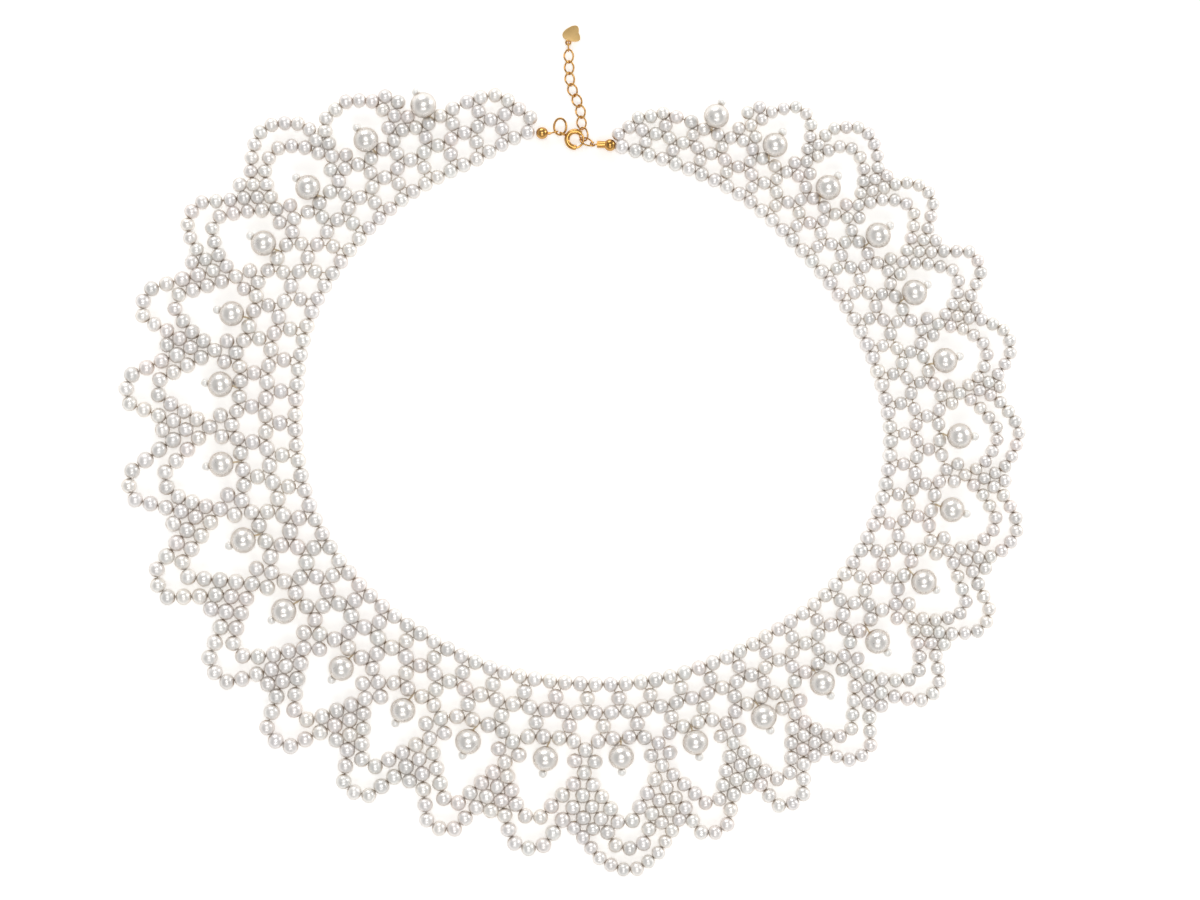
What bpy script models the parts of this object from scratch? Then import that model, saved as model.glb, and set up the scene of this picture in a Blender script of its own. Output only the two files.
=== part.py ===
"""A bead-netted collar of small round pearls, laid flat, with its drops, clasp and extender chain.

The work is threaded, not woven: a neck strand carries two rows of netting, and each repeat of four neck
pearls carries one hanging drop and one share of the scalloped edge. Places are given as the maker counts
them: so many pearls along the neck strand, and so many millimetres out from it. Lengths in the tables are
millimetres and are turned into metres when a mesh is made. The collar lies on z = 0, its back opening
towards +Y and the extender chain standing out of that opening.
"""

import math
from collections import namedtuple

import bmesh
import bpy
from mathutils import Matrix, Vector

MM = 0.001

# ---- the neck strand: reach of its pearls from the middle of the neck, every 15 degrees ----
NECK_CENTRE = Vector((4.3, 7.8))
NECK_REACH = (58.7, 57.9, 59.2, 60.5, 61.8, 61.5, 61.4, 60.7, 59.0, 57.1, 56.3, 55.6,
              56.1, 56.9, 58.6, 61.4, 62.5, 61.8, 59.2, 56.5, 54.6, 54.3, 53.9, 54.8)
REACH_START, REACH_STEP = 100.0, 15.0
NECK_FROM, NECK_TO = 103.2, 443.8
NECK_PEARLS = 116
PITCH = ((1, 2.92), (5, 3.05), (9, 3.22), (14, 3.08), (18, 2.95), (23, 2.96), (27, 2.87))

# ---- one row for each repeat, from the clasp's left side round to its right ----
# bead: diameter of its small pearls; pearl: how far out the drop hangs; root, knot and cross: the three
# pearls on the middle line of the fan that follows it, and lean, how far that line runs sideways;
# inner and outer: how far out the tips of its two scallops reach, and how far they lean
Unit = namedtuple("Unit", "n bead pearl sway root knot cross lean inner inner_lean outer outer_lean")
UNITS = [Unit(*row) for row in (
    (1, 2.9, 13.2, 0.7, 10.7, 14.4, 18.4, 0.3, 0.0, 0.0, 0.0, 0.0),
    (2, 2.9, 12.9, 0.3, 11.2, 15.4, 19.4, 0.3, 21.8, 0.6, 0.0, 0.0),
    (3, 2.9, 13.6, 0.9, 12.0, 16.4, 20.5, 1.3, 23.8, 0.6, 28.3, -0.8),
    (4, 2.9, 14.0, 0.6, 11.5, 16.5, 20.9, 1.3, 24.9, 2.1, 29.9, 2.8),
    (5, 3.0, 14.4, 0.0, 12.1, 16.8, 21.4, -0.1, 26.2, 0.5, 32.6, 2.2),
    (6, 3.1, 14.6, -0.7, 12.2, 16.9, 21.4, 0.3, 27.4, 0.6, 33.7, 1.3),
    (7, 3.1, 15.0, 0.0, 12.5, 17.6, 22.3, 0.7, 27.0, 1.5, 34.3, 1.6),
    (8, 3.2, 14.8, -0.2, 12.7, 17.5, 22.1, 0.0, 28.4, 0.8, 34.3, 1.6),
    (9, 3.2, 14.9, -0.4, 12.6, 17.2, 21.9, -0.6, 27.4, 0.0, 33.6, 0.8),
    (10, 3.2, 14.7, -0.3, 12.7, 17.3, 22.1, -1.0, 27.6, -0.9, 34.5, -1.6),
    (11, 3.1, 15.0, -0.4, 13.2, 18.0, 22.5, -0.9, 28.1, -1.4, 34.4, -1.1),
    (12, 3.1, 15.3, -1.3, 13.2, 17.9, 22.7, -1.5, 28.2, -1.0, 33.9, -1.6),
    (13, 3.1, 15.5, -0.8, 13.3, 18.1, 22.5, 0.0, 27.8, -2.1, 34.0, -2.3),
    (14, 3.0, 15.0, -0.1, 12.7, 17.4, 21.9, 0.3, 28.1, 0.0, 33.2, 0.7),
    (15, 2.9, 14.4, 0.0, 12.3, 16.7, 21.1, 0.0, 26.7, 0.3, 32.7, -0.8),
    (16, 2.9, 14.2, 0.4, 12.2, 16.4, 20.7, -1.0, 26.7, -0.9, 32.2, -1.5),
    (17, 2.8, 13.9, 0.2, 11.6, 15.8, 19.9, 0.0, 24.8, -1.2, 30.2, -0.9),
    (18, 2.8, 13.5, -0.5, 11.6, 15.6, 19.6, -0.6, 23.8, 0.0, 28.9, 0.1),
    (19, 2.7, 13.5, -0.8, 11.5, 15.6, 19.5, -0.9, 23.3, -1.5, 28.6, -1.7),
    (20, 2.7, 13.3, -0.5, 11.1, 15.0, 18.9, -1.2, 22.6, -1.3, 27.0, -1.6),
    (21, 2.6, 13.1, -1.0, 10.5, 14.5, 18.4, -0.2, 20.9, -0.9, 25.2, -1.0),
    (22, 2.6, 12.8, -0.5, 10.6, 14.5, 18.3, -0.4, 21.5, -0.7, 26.6, -0.5),
    (23, 2.6, 12.4, 0.3, 10.4, 13.9, 17.7, -0.3, 21.7, -0.7, 26.9, -0.2),
    (24, 2.6, 12.7, 0.1, 10.5, 14.2, 17.9, 0.8, 21.5, 0.3, 26.2, 0.6),
    (25, 2.6, 11.8, 0.9, 9.6, 13.2, 17.1, 1.4, 21.0, 1.9, 25.3, 2.8),
    (26, 2.6, 11.5, 0.9, 9.3, 12.9, 16.8, -0.2, 20.6, 0.4, 0.0, 0.0),
    (27, 2.7, 11.4, 0.3, 9.0, 12.6, 16.4, 0.0, 0.0, 0.0, 0.0, 0.0),
)]
PER_UNIT = 4
FIRST_DROP = 6
LAST_UNIT = 27
FIRST_LOOP, LAST_LOOP = 2, 26
FIRST_OUTER, LAST_OUTER = 3, 25
SWAG_UNIT, SWAG_BEAD = 14, 2.85

# how far down the netting its rows lie, as a share of the lower row's depth
STEM_1, ROW_1, STEM_2 = 0.265, 0.5, 0.745
# the pearls that close each end of the netting: out from the end pearl, and along the strand from it
LEFT_EDGE = ((2.6, -1.7), (5.1, -0.4), (7.6, 1.5), (9.3, 3.2))
RIGHT_EDGE = ((1.9, -1.1), (4.2, 0.4), (6.5, 2.0), (7.6, 4.3))

# ---- a strand of pearls as a solid: its half width and half foot, as shares of its pearl ----
STRAND_WIDE, SCALLOP_WIDE, STRAND_FOOT = 0.43, 0.37, 0.24
EQUATOR = 0.5
SEAM = 0.3

# ---- the drops ----
DROP_R, STOP_R = 2.5, 0.95
DROP_SIDES = 8
# the turned profile of a drop along its thread: place from the pearl's centre, radius
DROP_PROFILE = ((-2.5, 0.45), (-1.8, 1.75), (0.0, 2.5), (1.8, 1.75), (2.5, 0.45), (3.4, 0.95), (4.3, 0.4))

# ---- metal findings ----
WIRE_R = 0.17
GOLD_R = 1.25
LINK_LONG, LINK_WIDE, LINK_PITCH = 1.38, 0.93, 2.34
LINK_TWIST = math.radians(45)
FIRST_LINK_AT, FIRST_LINK_ROLL = Vector((2.32, 64.74)), 22
# the extender's links: the way on from the link before, in degrees from +X, and how high its centre lies
Link = namedtuple("Link", "heading z")
LINKS = [Link(*row) for row in (
    (102, 0.67), (100, 0.66), (95, 0.60), (108, 0.55), (113, 0.55), (104, 0.57), (93, 0.68), (92, 0.84),
)]
# the spring ring: a thick tube, thin where its sprung bar closes the gap, and the lug opposite
CLASP_AT, CLASP_R, CLASP_TUBE, CLASP_BAR = Vector((0.6, 63.6, 1.44)), 1.72, 0.42, 0.22
BAR_FROM, BAR_TO = -80, 40
LUG_AT, LUG_R, LUG_WIRE = Vector((-1.9, 64.75, 1.2)), 0.55, 0.18
# the jump rings: centre, half lengths along and across, and how far each is turned and tipped up
LEFT_RING_AT, LEFT_RING_LONG, LEFT_RING_WIDE = Vector((-2.45, 66.25, 0.99)), 1.68, 1.3
LEFT_RING_TIP = math.radians(16)
RIGHT_RING_AT, RIGHT_RING_LONG, RIGHT_RING_WIDE = Vector((2.93, 63.16, 1.27)), 1.38, 1.21
RIGHT_RING_TURN, RIGHT_RING_TIP = -24, math.radians(51.5)
TAG_RING_LONG, TAG_RING_WIDE, TAG_RING_WIRE, TAG_RING_Z = 1.0, 0.8, 0.14, 0.95
# the tag: a full heart, pointing left, with a small eyelet on its lower edge
TAG_THICK, TAG_LIFT = 0.35, 0.58
TAG_LONG, TAG_WIDE, TAG_TURN = 1.8, 1.7, math.radians(-92)
EYELET_HOLE_R, EYELET_R, EYELET_THICK = 0.32, 0.62, 0.29
TAG_FROM_HOLE = Vector((1.06, 1.43))


def unit_row(n):
    return UNITS[n - 1]


def between(rows, where):
    """Reads a value off rows of (place, value), straight between them and level past the ends."""
    where = min(max(where, rows[0][0]), rows[-1][0])
    for (a, va), (b, vb) in zip(rows, rows[1:]):
        if where <= b:
            return va + (vb - va) * (where - a) / (b - a)
    return rows[-1][1]


def repeat_at(index):
    """The repeat, as a fraction, that a place along the neck strand belongs to."""
    return (index - FIRST_DROP) / PER_UNIT + 1


def bead_size(index):
    return between([(u.n, u.bead) for u in UNITS], repeat_at(index))


def edge_depth(index):
    """How far out the netting's lower row lies: just inside the drops, and closer to them at the back."""
    n = repeat_at(index)
    hang = 3.5 + 0.9 * math.sin(math.pi * min(max((n - 1) / (LAST_UNIT - 1), 0), 1))
    return between([(u.n, u.pearl) for u in UNITS], n) - hang


def neck_point(bearing):
    """A point of the neck line: a smooth curve through the reaches."""
    place = (bearing - REACH_START) / REACH_STEP
    i = math.floor(place)
    t = place - i
    a, b, c, d = (NECK_REACH[(i + k) % len(NECK_REACH)] for k in (-1, 0, 1, 2))
    reach = b + 0.5 * t * (c - a + t * (2 * a - 5 * b + 4 * c - d + t * (3 * (b - c) + d - a)))
    angle = math.radians(bearing)
    return NECK_CENTRE + reach * Vector((math.cos(angle), math.sin(angle)))


def neck_line(steps=1400):
    """The neck line with the distance run, and where each pearl of the strand sits along it."""
    points = [neck_point(NECK_FROM + (NECK_TO - NECK_FROM) * i / steps) for i in range(steps + 1)]
    run = [0.0]
    for a, b in zip(points, points[1:]):
        run.append(run[-1] + (b - a).length)
    pitches = [between(PITCH, repeat_at(i)) for i in range(1, NECK_PEARLS)]
    scale = run[-1] / sum(pitches)
    seats = [0.0]
    for pitch in pitches:
        seats.append(seats[-1] + pitch * scale)
    return points, run, seats


LINE, RUN, SEATS = neck_line()


def on_line(distance):
    distance = min(max(distance, 0.0), RUN[-1])
    lo, hi = 0, len(RUN) - 1
    while hi - lo > 1:
        mid = (lo + hi) // 2
        if RUN[mid] <= distance:
            lo = mid
        else:
            hi = mid
    return LINE[lo].lerp(LINE[hi], (distance - RUN[lo]) / (RUN[hi] - RUN[lo]))


def at(index, out=0.0, along=0.0):
    """A place counted in pearls along the strand (a pearl's own centre is a half number), millimetres out
    from the strand and millimetres sideways from there."""
    i = min(max(index - 0.5, 0.0), NECK_PEARLS - 1.0)
    k = min(int(i), NECK_PEARLS - 2)
    seat = SEATS[k] + (SEATS[k + 1] - SEATS[k]) * (i - k)
    reach = 6.0
    tangent = (on_line(seat + reach) - on_line(seat - reach)).normalized()
    return on_line(seat) + Vector((tangent.y, -tangent.x)) * out + tangent * along


def loop_points(start, end, tip, lean_dir, count, bead):
    """The pearls of a scallop between two knots: two sides of three and a tip of two or three."""
    half = 0.5 * bead if count == 8 else 0.93 * bead
    first, last = tip - lean_dir * half, tip + lean_dir * half
    places = []
    for a, b in ((start, first), (last, end)):
        run = b - a
        spare = max(4 * bead - run.length, 0.0)
        bow = math.sqrt(0.3 * spare * run.length)
        side = Vector((run.y, -run.x)).normalized()
        places.append([a + run * t + side * bow * math.sin(math.pi * t) for t in (0.25, 0.5, 0.75)])
    out = Vector((lean_dir.y, -lean_dir.x))
    middle = [] if count == 8 else [tip + out * 0.25 * bead]
    return places[0] + [first] + middle + [last] + places[1]


def place_pearls():
    """Every small pearl by name, with its diameter, and the pairs that the thread draws together."""
    beads, pairs = {}, []

    def put(name, place, size):
        beads[name] = [place.copy(), size]

    def thread(*names):
        pairs.extend(zip(names, names[1:]))

    def middle(n):
        return PER_UNIT * (n - 1) + FIRST_DROP

    for i in range(NECK_PEARLS):
        put(("neck", i + 0.5), at(i + 0.5), min(between(PITCH, repeat_at(i + 0.5)), 3.1))
    for i in range(2, NECK_PEARLS - 1, 2):
        put(("stem1", i), at(i, STEM_1 * edge_depth(i)), bead_size(i))
    for i in range(1, NECK_PEARLS - 1):
        put(("row1", i + 0.5), at(i + 0.5, ROW_1 * edge_depth(i)), bead_size(i))
    for i in range(3, NECK_PEARLS - 2, 2):
        put(("stem2", i), at(i, STEM_2 * edge_depth(i)), bead_size(i))
    for i in range(2, NECK_PEARLS - 2):
        put(("row2", i + 0.5), at(i + 0.5, edge_depth(i)), bead_size(i))
    for j, (out, along) in enumerate(LEFT_EDGE):
        put(("left", j), at(0.5, out, along), bead_size(0))
    for j, (out, along) in enumerate(RIGHT_EDGE):
        put(("right", j), at(NECK_PEARLS - 0.5, out, -along), bead_size(NECK_PEARLS))
    for i in range(1, NECK_PEARLS):
        thread(("neck", i - 0.5), ("neck", i + 0.5))
    for i in range(2, NECK_PEARLS - 1):
        thread(("row1", i - 0.5), ("row1", i + 0.5))
        kind = "stem1" if i % 2 == 0 else "stem2"
        for side in (-0.5, 0.5):
            if (kind, i) in beads:
                thread((kind, i), ("row1", i + side))
                thread((kind, i), ("neck" if kind == "stem1" else "row2", i + side))
    thread(("row2", 2.5), ("left", 3), ("left", 2), ("left", 1), ("left", 0), ("neck", 0.5))
    last = NECK_PEARLS - 0.5
    thread(("row2", last - 2), ("right", 3), ("right", 2), ("right", 1), ("right", 0), ("neck", last))
    thread(("row1", 1.5), ("left", 1))
    thread(("row1", last - 1), ("right", 1))

    for n in range(1, LAST_UNIT):
        u, i = unit_row(n), middle(n) + 2
        size = 0.5 * (u.bead + unit_row(n + 1).bead)
        put(("root", n), at(i, u.root, 0.4 * u.lean), size)
        put(("knot", n), at(i, u.knot, 0.8 * u.lean), size)
        put(("cross", n), at(i, u.cross, u.lean), size)
        half = 0.5 * (u.root + u.knot)
        for side in (-1, 1):
            put(("cheek", n, side), at(i, half, 0.6 * u.lean + side * 0.74 * size), size)
            thread(("root", n), ("cheek", n, side), ("knot", n))
            thread(("row2", i + 0.5 * side), ("root", n))
        if FIRST_OUTER <= n < LAST_OUTER:
            put(("valley", n), at(i, u.cross + 1.5 * size, 1.1 * u.lean), size)
    for i in range(3, NECK_PEARLS - 2):
        if ("root", (i - FIRST_DROP - 2) / PER_UNIT + 1) not in beads:
            thread(("row2", i - 0.5), ("row2", i + 0.5))

    def scallop(kind, n, ends, count, tip, lean):
        across = at(middle(n), 0.0, 1.0) - at(middle(n))
        bead = unit_row(n).bead
        start, end = beads[(ends, n - 1)][0], beads[(ends, n)][0]
        places = loop_points(start, end, at(middle(n), tip, lean), across, count, bead)
        for j, place in enumerate(places):
            put((kind, n, j), place, bead)
        thread((ends, n - 1), *[(kind, n, j) for j in range(count)], (ends, n))

    for n in range(FIRST_LOOP, LAST_LOOP + 1):
        u = unit_row(n)
        scallop("inner", n, "knot", 8, u.inner, u.inner_lean)
        thread(("inner", n, 0), ("cross", n - 1))
        thread(("inner", n, 7), ("cross", n))
    for n in range(FIRST_OUTER, LAST_OUTER + 1):
        u = unit_row(n)
        scallop("outer", n, "cross", 9, u.outer, u.outer_lean)
        for valley, j in ((n - 1, 0), (n, 8)):
            if ("valley", valley) in beads:
                thread(("outer", n, j), ("valley", valley))
    put(("side", 1), at(middle(1) + 2, 0.5 * (unit_row(1).knot + unit_row(1).cross), -1.9), 2.9)
    put(("side", 26), at(middle(26) + 2, 0.5 * (unit_row(26).knot + unit_row(26).cross), 1.8), 2.6)
    for n in (1, 26):
        thread(("knot", n), ("side", n), ("cross", n))

    for n in (SWAG_UNIT - 1, SWAG_UNIT):
        i, out = middle(n) + 2, unit_row(n).cross + 1.5 * SWAG_BEAD
        along = 1.1 * unit_row(n).lean + (0.5 if n == SWAG_UNIT - 1 else -0.5)
        for side in (-1, 1):
            put(("gusset", n, side), at(i, out + 2.4, along + side * 2.0), SWAG_BEAD)
            thread(("valley", n), ("gusset", n, side))
        put(("swag_end", n), at(i, out + 4.3, along), SWAG_BEAD)
        for side in (-1, 1):
            thread(("gusset", n, side), ("swag_end", n))
    across = at(middle(SWAG_UNIT), 0.0, 1.0) - at(middle(SWAG_UNIT))
    ends = [beads[("swag_end", n)][0] for n in (SWAG_UNIT - 1, SWAG_UNIT)]
    tip = at(middle(SWAG_UNIT), unit_row(SWAG_UNIT).outer + 4.5, 0.6)
    for j, place in enumerate(loop_points(ends[0], ends[1], tip, across, 8, SWAG_BEAD)):
        put(("swag", j), place, SWAG_BEAD)
    thread(("swag_end", SWAG_UNIT - 1), *[("swag", j) for j in range(8)], ("swag_end", SWAG_UNIT))
    for n in range(1, LAST_UNIT + 1):
        put(("drop", n), at(middle(n), unit_row(n).pearl, unit_row(n).sway), 2 * DROP_R)
    return beads, pairs


def settle(beads, pairs, rounds=40, hold=0.1, draw=0.25, give=0.98):
    """Lets the pearls find their seats: none inside another, threaded neighbours drawn together, and all
    held near where they were put. The neck strand and the drops stay."""
    names = list(beads)
    home = {name: beads[name][0].copy() for name in names}
    fixed = {name for name in names if name[0] in ("neck", "drop")}
    cell = 4.2
    for _ in range(rounds):
        grid = {}
        for name in names:
            place = beads[name][0]
            if name not in fixed:
                place += (home[name] - place) * hold
            grid.setdefault((int(place.x // cell), int(place.y // cell)), []).append(name)
        moves = {name: Vector((0.0, 0.0)) for name in names}
        for (cx, cy), here in grid.items():
            near = [m for dx in (-1, 0, 1) for dy in (-1, 0, 1) for m in grid.get((cx + dx, cy + dy), ())]
            for a in here:
                for b in near:
                    if a >= b:
                        continue
                    gap = beads[b][0] - beads[a][0]
                    short = 0.5 * (beads[a][1] + beads[b][1]) * give - gap.length
                    if short > 0:
                        push = gap.normalized() * short * 0.5
                        moves[a] -= push
                        moves[b] += push
        for a, b in pairs:
            gap = beads[b][0] - beads[a][0]
            far = gap.length - 0.5 * (beads[a][1] + beads[b][1])
            if far > 0:
                moves[a] += gap.normalized() * far * draw
                moves[b] -= gap.normalized() * far * draw
        for name in names:
            if name not in fixed:
                beads[name][0] += moves[name] * 0.6
    return beads


# ---------------------------------------------------------------- solids


def material(name, colour, rough, metal=0.0):
    found = bpy.data.materials.get(name)
    if found:
        return found
    made = bpy.data.materials.new(name)
    made.use_nodes = True
    shader = made.node_tree.nodes["Principled BSDF"]
    shader.inputs["Base Color"].default_value = (*colour, 1.0)
    shader.inputs["Roughness"].default_value = rough
    shader.inputs["Metallic"].default_value = metal
    return made


def pearl_finish():
    return material("pearl", (0.86, 0.83, 0.80), 0.22)


def drop_finish():
    return material("drop_pearl", (0.80, 0.77, 0.73), 0.18)


def gold_finish():
    return material("gold_plate", (0.75, 0.50, 0.18), 0.22, 1.0)


def satin_gold():
    return material("satin_gold", (0.72, 0.52, 0.25), 0.42, 1.0)


def make_object(name, mesh_builder, finish, smooth=35):
    """Turns a bmesh in millimetres into a named object in metres."""
    bmesh.ops.scale(mesh_builder, vec=(MM, MM, MM), verts=mesh_builder.verts)
    mesh = bpy.data.meshes.new(name)
    mesh_builder.to_mesh(mesh)
    mesh_builder.free()
    mesh.materials.append(finish)
    mesh.shade_smooth()
    mesh.set_sharp_from_angle(angle=math.radians(smooth))
    thing = bpy.data.objects.new(name, mesh)
    bpy.context.collection.objects.link(thing)
    return thing


def left_of(direction):
    return Vector((-direction.y, direction.x))


def strand_work(name, points, sizes, links, wide=STRAND_WIDE, cap=0.0):
    """A flat-bottomed solid along a net of strands. points and sizes give each knot of the net and the
    pearl diameter there, links the strands between them. Each strand has a ridge at the pearls' height,
    is widest half-way up and stands on a narrower foot."""
    around = {key: [] for key in points}
    for a, b in links:
        around[a].append(b)
        around[b].append(a)
    for key, others in around.items():
        others.sort(key=lambda o: math.atan2(points[o].y - points[key].y, points[o].x - points[key].x))

    shape = bmesh.new()
    ridge = {k: shape.verts.new((p.x, p.y, sizes[k])) for k, p in points.items() if around[k]}
    floor = {k: shape.verts.new((p.x, p.y, 0.0)) for k, p in points.items() if around[k]}

    def corner(key, before, after, share):
        """Where the left edges of two strands meet at a knot; two corners where the strand ends."""
        here, r = points[key], share * sizes[key]
        d1 = (here - points[before]).normalized()
        if before == after:
            return [here + left_of(d1) * r + d1 * cap, here - left_of(d1) * r + d1 * cap]
        n1, n2 = left_of(d1), left_of((points[after] - here).normalized())
        return [here + (n1 + n2) * (r / max(1.0 + n1.dot(n2), 0.15))]

    def turn(a, b):
        others = around[b]
        return b, others[others.index(a) - 1]

    left = {(a, b) for x, y in links for a, b in ((x, y), (y, x))}
    while left:
        start = min(left, key=str)
        cycle, step = [start], turn(*start)
        while step != start:
            cycle.append(step)
            step = turn(*step)
        left.difference_update(cycle)
        mids, feet = [], []
        for i, (a, b) in enumerate(cycle):
            after = cycle[(i + 1) % len(cycle)][1]
            high = EQUATOR * sizes[b]
            mids.append([shape.verts.new((p.x, p.y, high)) for p in corner(b, a, after, wide)])
            feet.append([shape.verts.new((p.x, p.y, 0.0)) for p in corner(b, a, after, STRAND_FOOT)])
        for i, (a, b) in enumerate(cycle):
            m0, m1 = mids[i - 1][-1], mids[i][0]
            f0, f1 = feet[i - 1][-1], feet[i][0]
            shape.faces.new((ridge[a], ridge[b], m1, m0))
            shape.faces.new((floor[b], floor[a], f0, f1))
            shape.faces.new((f1, f0, m0, m1))
            if len(mids[i]) == 2:
                cap_l, cap_r = mids[i]
                foot_l, foot_r = feet[i]
                shape.faces.new((ridge[b], cap_r, cap_l))
                shape.faces.new((floor[b], foot_l, foot_r))
                shape.faces.new((foot_r, foot_l, cap_l, cap_r))
    return make_object(name, shape, pearl_finish(), smooth=50)


def neck_strand(beads):
    keys = [("neck", i + 0.5) for i in range(NECK_PEARLS)]
    points = {k: beads[k][0] for k in keys}
    sizes = {k: beads[k][1] for k in keys}
    return strand_work("neck_strand", points, sizes, list(zip(keys, keys[1:])), cap=0.9)


def netting(beads):
    """Two rows of netting: stems off the neck strand, a row, stems off that, and the lower row."""
    points, sizes, links = {}, {}, []

    def mean(kind, i):
        pair = [beads[(kind, i - 0.5)], beads[(kind, i + 0.5)]]
        points[(kind, i)] = 0.5 * (pair[0][0] + pair[1][0])
        sizes[(kind, i)] = 0.5 * (pair[0][1] + pair[1][1])
        return kind, i

    def take(key):
        points[key], sizes[key] = beads[key]
        return key

    row1 = [take(("row1", 1.5))] + [mean("row1", i) for i in range(2, NECK_PEARLS - 1)]
    row1.append(take(("row1", NECK_PEARLS - 1.5)))
    links += zip(row1, row1[1:])
    for i in range(2, NECK_PEARLS - 1, 2):
        top = ("top", i)
        strand = 0.5 * (beads[("neck", i - 0.5)][0] + beads[("neck", i + 0.5)][0])
        down = (points[("row1", i)] - strand).normalized()
        points[top] = strand + down * (STRAND_WIDE * beads[("neck", i - 0.5)][1] + SEAM)
        sizes[top] = sizes[("row1", i)]
        links.append((top, ("row1", i)))
    row2 = [take(("left", j)) for j in range(4)] + [take(("row2", 2.5))]
    for i in range(3, NECK_PEARLS - 2):
        root = ("root", (i - FIRST_DROP - 2) / PER_UNIT + 1)
        if i % 2:
            row2.append(mean("row2", i))
            links.append((("row1", i), ("row2", i)))
        elif root in beads:
            row2.append(take(root))
    row2.append(take(("row2", NECK_PEARLS - 2.5)))
    row2 += [take(("right", j)) for j in (3, 2, 1, 0)]
    links += zip(row2, row2[1:])
    links += [(("row1", 1.5), ("left", 1)), (("row1", NECK_PEARLS - 1.5), ("right", 1))]
    return strand_work("netting", points, sizes, links)


def scallop_row(name, beads, kind, ends, span, spurs):
    """One row of scallops on a single thread, from knot to knot, with the short spurs off its knots."""
    points, sizes, links = {}, {}, []

    def take(key):
        points[key], sizes[key] = beads[key]
        return key

    for n in range(span[0], span[1] + 1):
        count = sum(1 for key in beads if key[0] == kind and key[1] == n)
        side = [0, 1, 3]
        keep = side + ([4] if count == 9 else []) + [count - 1 - j for j in reversed(side)]
        run = [take((ends, n - 1))] + [take((kind, n, j)) for j in keep] + [take((ends, n))]
        links += zip(run, run[1:])
    for knot, tip in spurs:
        if tip in beads and knot in points:
            take(tip)
            links.append((knot, tip))
    return strand_work(name, points, sizes, links, SCALLOP_WIDE)


def centre_swag(beads):
    keys = [("swag_end", SWAG_UNIT - 1)] + [("swag", j) for j in range(8)] + [("swag_end", SWAG_UNIT)]
    points = {k: beads[k][0] for k in keys}
    sizes = {k: beads[k][1] for k in keys}
    links = list(zip(keys, keys[1:]))
    for n, end in ((SWAG_UNIT - 1, keys[0]), (SWAG_UNIT, keys[-1])):
        valley = beads[("valley", n)][0]
        up = (points[end] - valley).normalized()
        points[("gusset", n)] = valley + up * (0.35 + SEAM + 0.1)
        sizes[("gusset", n)] = SWAG_BEAD
        links.append((end, ("gusset", n)))
    return strand_work("centre_swag", points, sizes, links, SCALLOP_WIDE)


def drop_pearl(n, beads):
    """A large pearl with its stop pearl, turned about the thread they hang on."""
    place = beads[("drop", n)][0]
    out = (place - at(PER_UNIT * (n - 1) + FIRST_DROP, 0.0)).normalized()
    shape = bmesh.new()
    rings = []
    for along, radius in DROP_PROFILE:
        ring = []
        for s in range(DROP_SIDES):
            angle = 2 * math.pi * (s + 0.5) / DROP_SIDES
            side = left_of(out) * math.cos(angle) * radius
            base = place + out * along + side
            ring.append(shape.verts.new((base.x, base.y, DROP_R + math.sin(angle) * radius)))
        rings.append(ring)
    for a, b in zip(rings, rings[1:]):
        for s in range(DROP_SIDES):
            t = (s + 1) % DROP_SIDES
            shape.faces.new((a[s], a[t], b[t], b[s]))
    shape.faces.new(list(reversed(rings[0])))
    shape.faces.new(rings[-1])
    bmesh.ops.recalc_face_normals(shape, faces=shape.faces)
    foot = min(v.co.z for v in shape.verts)
    bmesh.ops.translate(shape, vec=(0, 0, -foot), verts=shape.verts)
    return make_object(f"drop_pearl_{n:02d}", shape, drop_finish(), smooth=50)


def tube(path, radii, sides=6, closed=True):
    """A round wire along a path; an open one has flat ends."""
    shape = bmesh.new()
    count = len(path)
    middle = sum(path, Vector()) / count
    rings = []
    for i, here in enumerate(path):
        ahead = path[(i + 1) % count] if closed or i < count - 1 else here
        behind = path[i - 1] if closed or i > 0 else here
        run = (ahead - behind).normalized()
        reach = here - middle if closed else Vector((0.0, 0.0, 1.0))
        first = (reach - run * reach.dot(run)).normalized()
        second = run.cross(first)
        ring = []
        for s in range(sides):
            angle = 2 * math.pi * (s + 0.5) / sides
            spoke = first * math.cos(angle) + second * math.sin(angle)
            ring.append(shape.verts.new(here + spoke * radii[i]))
        rings.append(ring)
    pairs = list(zip(rings, rings[1:])) + ([(rings[-1], rings[0])] if closed else [])
    for a, b in pairs:
        for s in range(sides):
            t = (s + 1) % sides
            shape.faces.new((a[s], a[t], b[t], b[s]))
    if not closed:
        shape.faces.new(list(reversed(rings[0])))
        shape.faces.new(rings[-1])
    bmesh.ops.recalc_face_normals(shape, faces=shape.faces)
    return shape


def oval(centre, long_dir, wide_dir, long, wide, steps=14):
    """Points round an oval whose two half axes are given."""
    return [centre + long_dir * long * math.cos(a) + wide_dir * wide * math.sin(a)
            for a in (2 * math.pi * i / steps for i in range(steps))]


def rolled(direction, degrees):
    """A direction across a level one, rolled about it from level."""
    level = Vector((direction.y, -direction.x, 0.0)).normalized()
    return Matrix.Rotation(math.radians(degrees), 3, direction) @ level


def heading(degrees):
    return Vector((math.cos(math.radians(degrees)), math.sin(math.radians(degrees)), 0.0))


def link_place(i):
    """Where a link's centre lies, and the way its length runs: half-way between its neighbours' ways."""
    at_link = Vector((*FIRST_LINK_AT, LINKS[i].z))
    for link in LINKS[1:i + 1]:
        at_link += heading(link.heading) * LINK_PITCH
    onward = LINKS[min(i + 1, len(LINKS) - 1)].heading
    return at_link, heading(0.5 * (LINKS[i].heading + onward))


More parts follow.
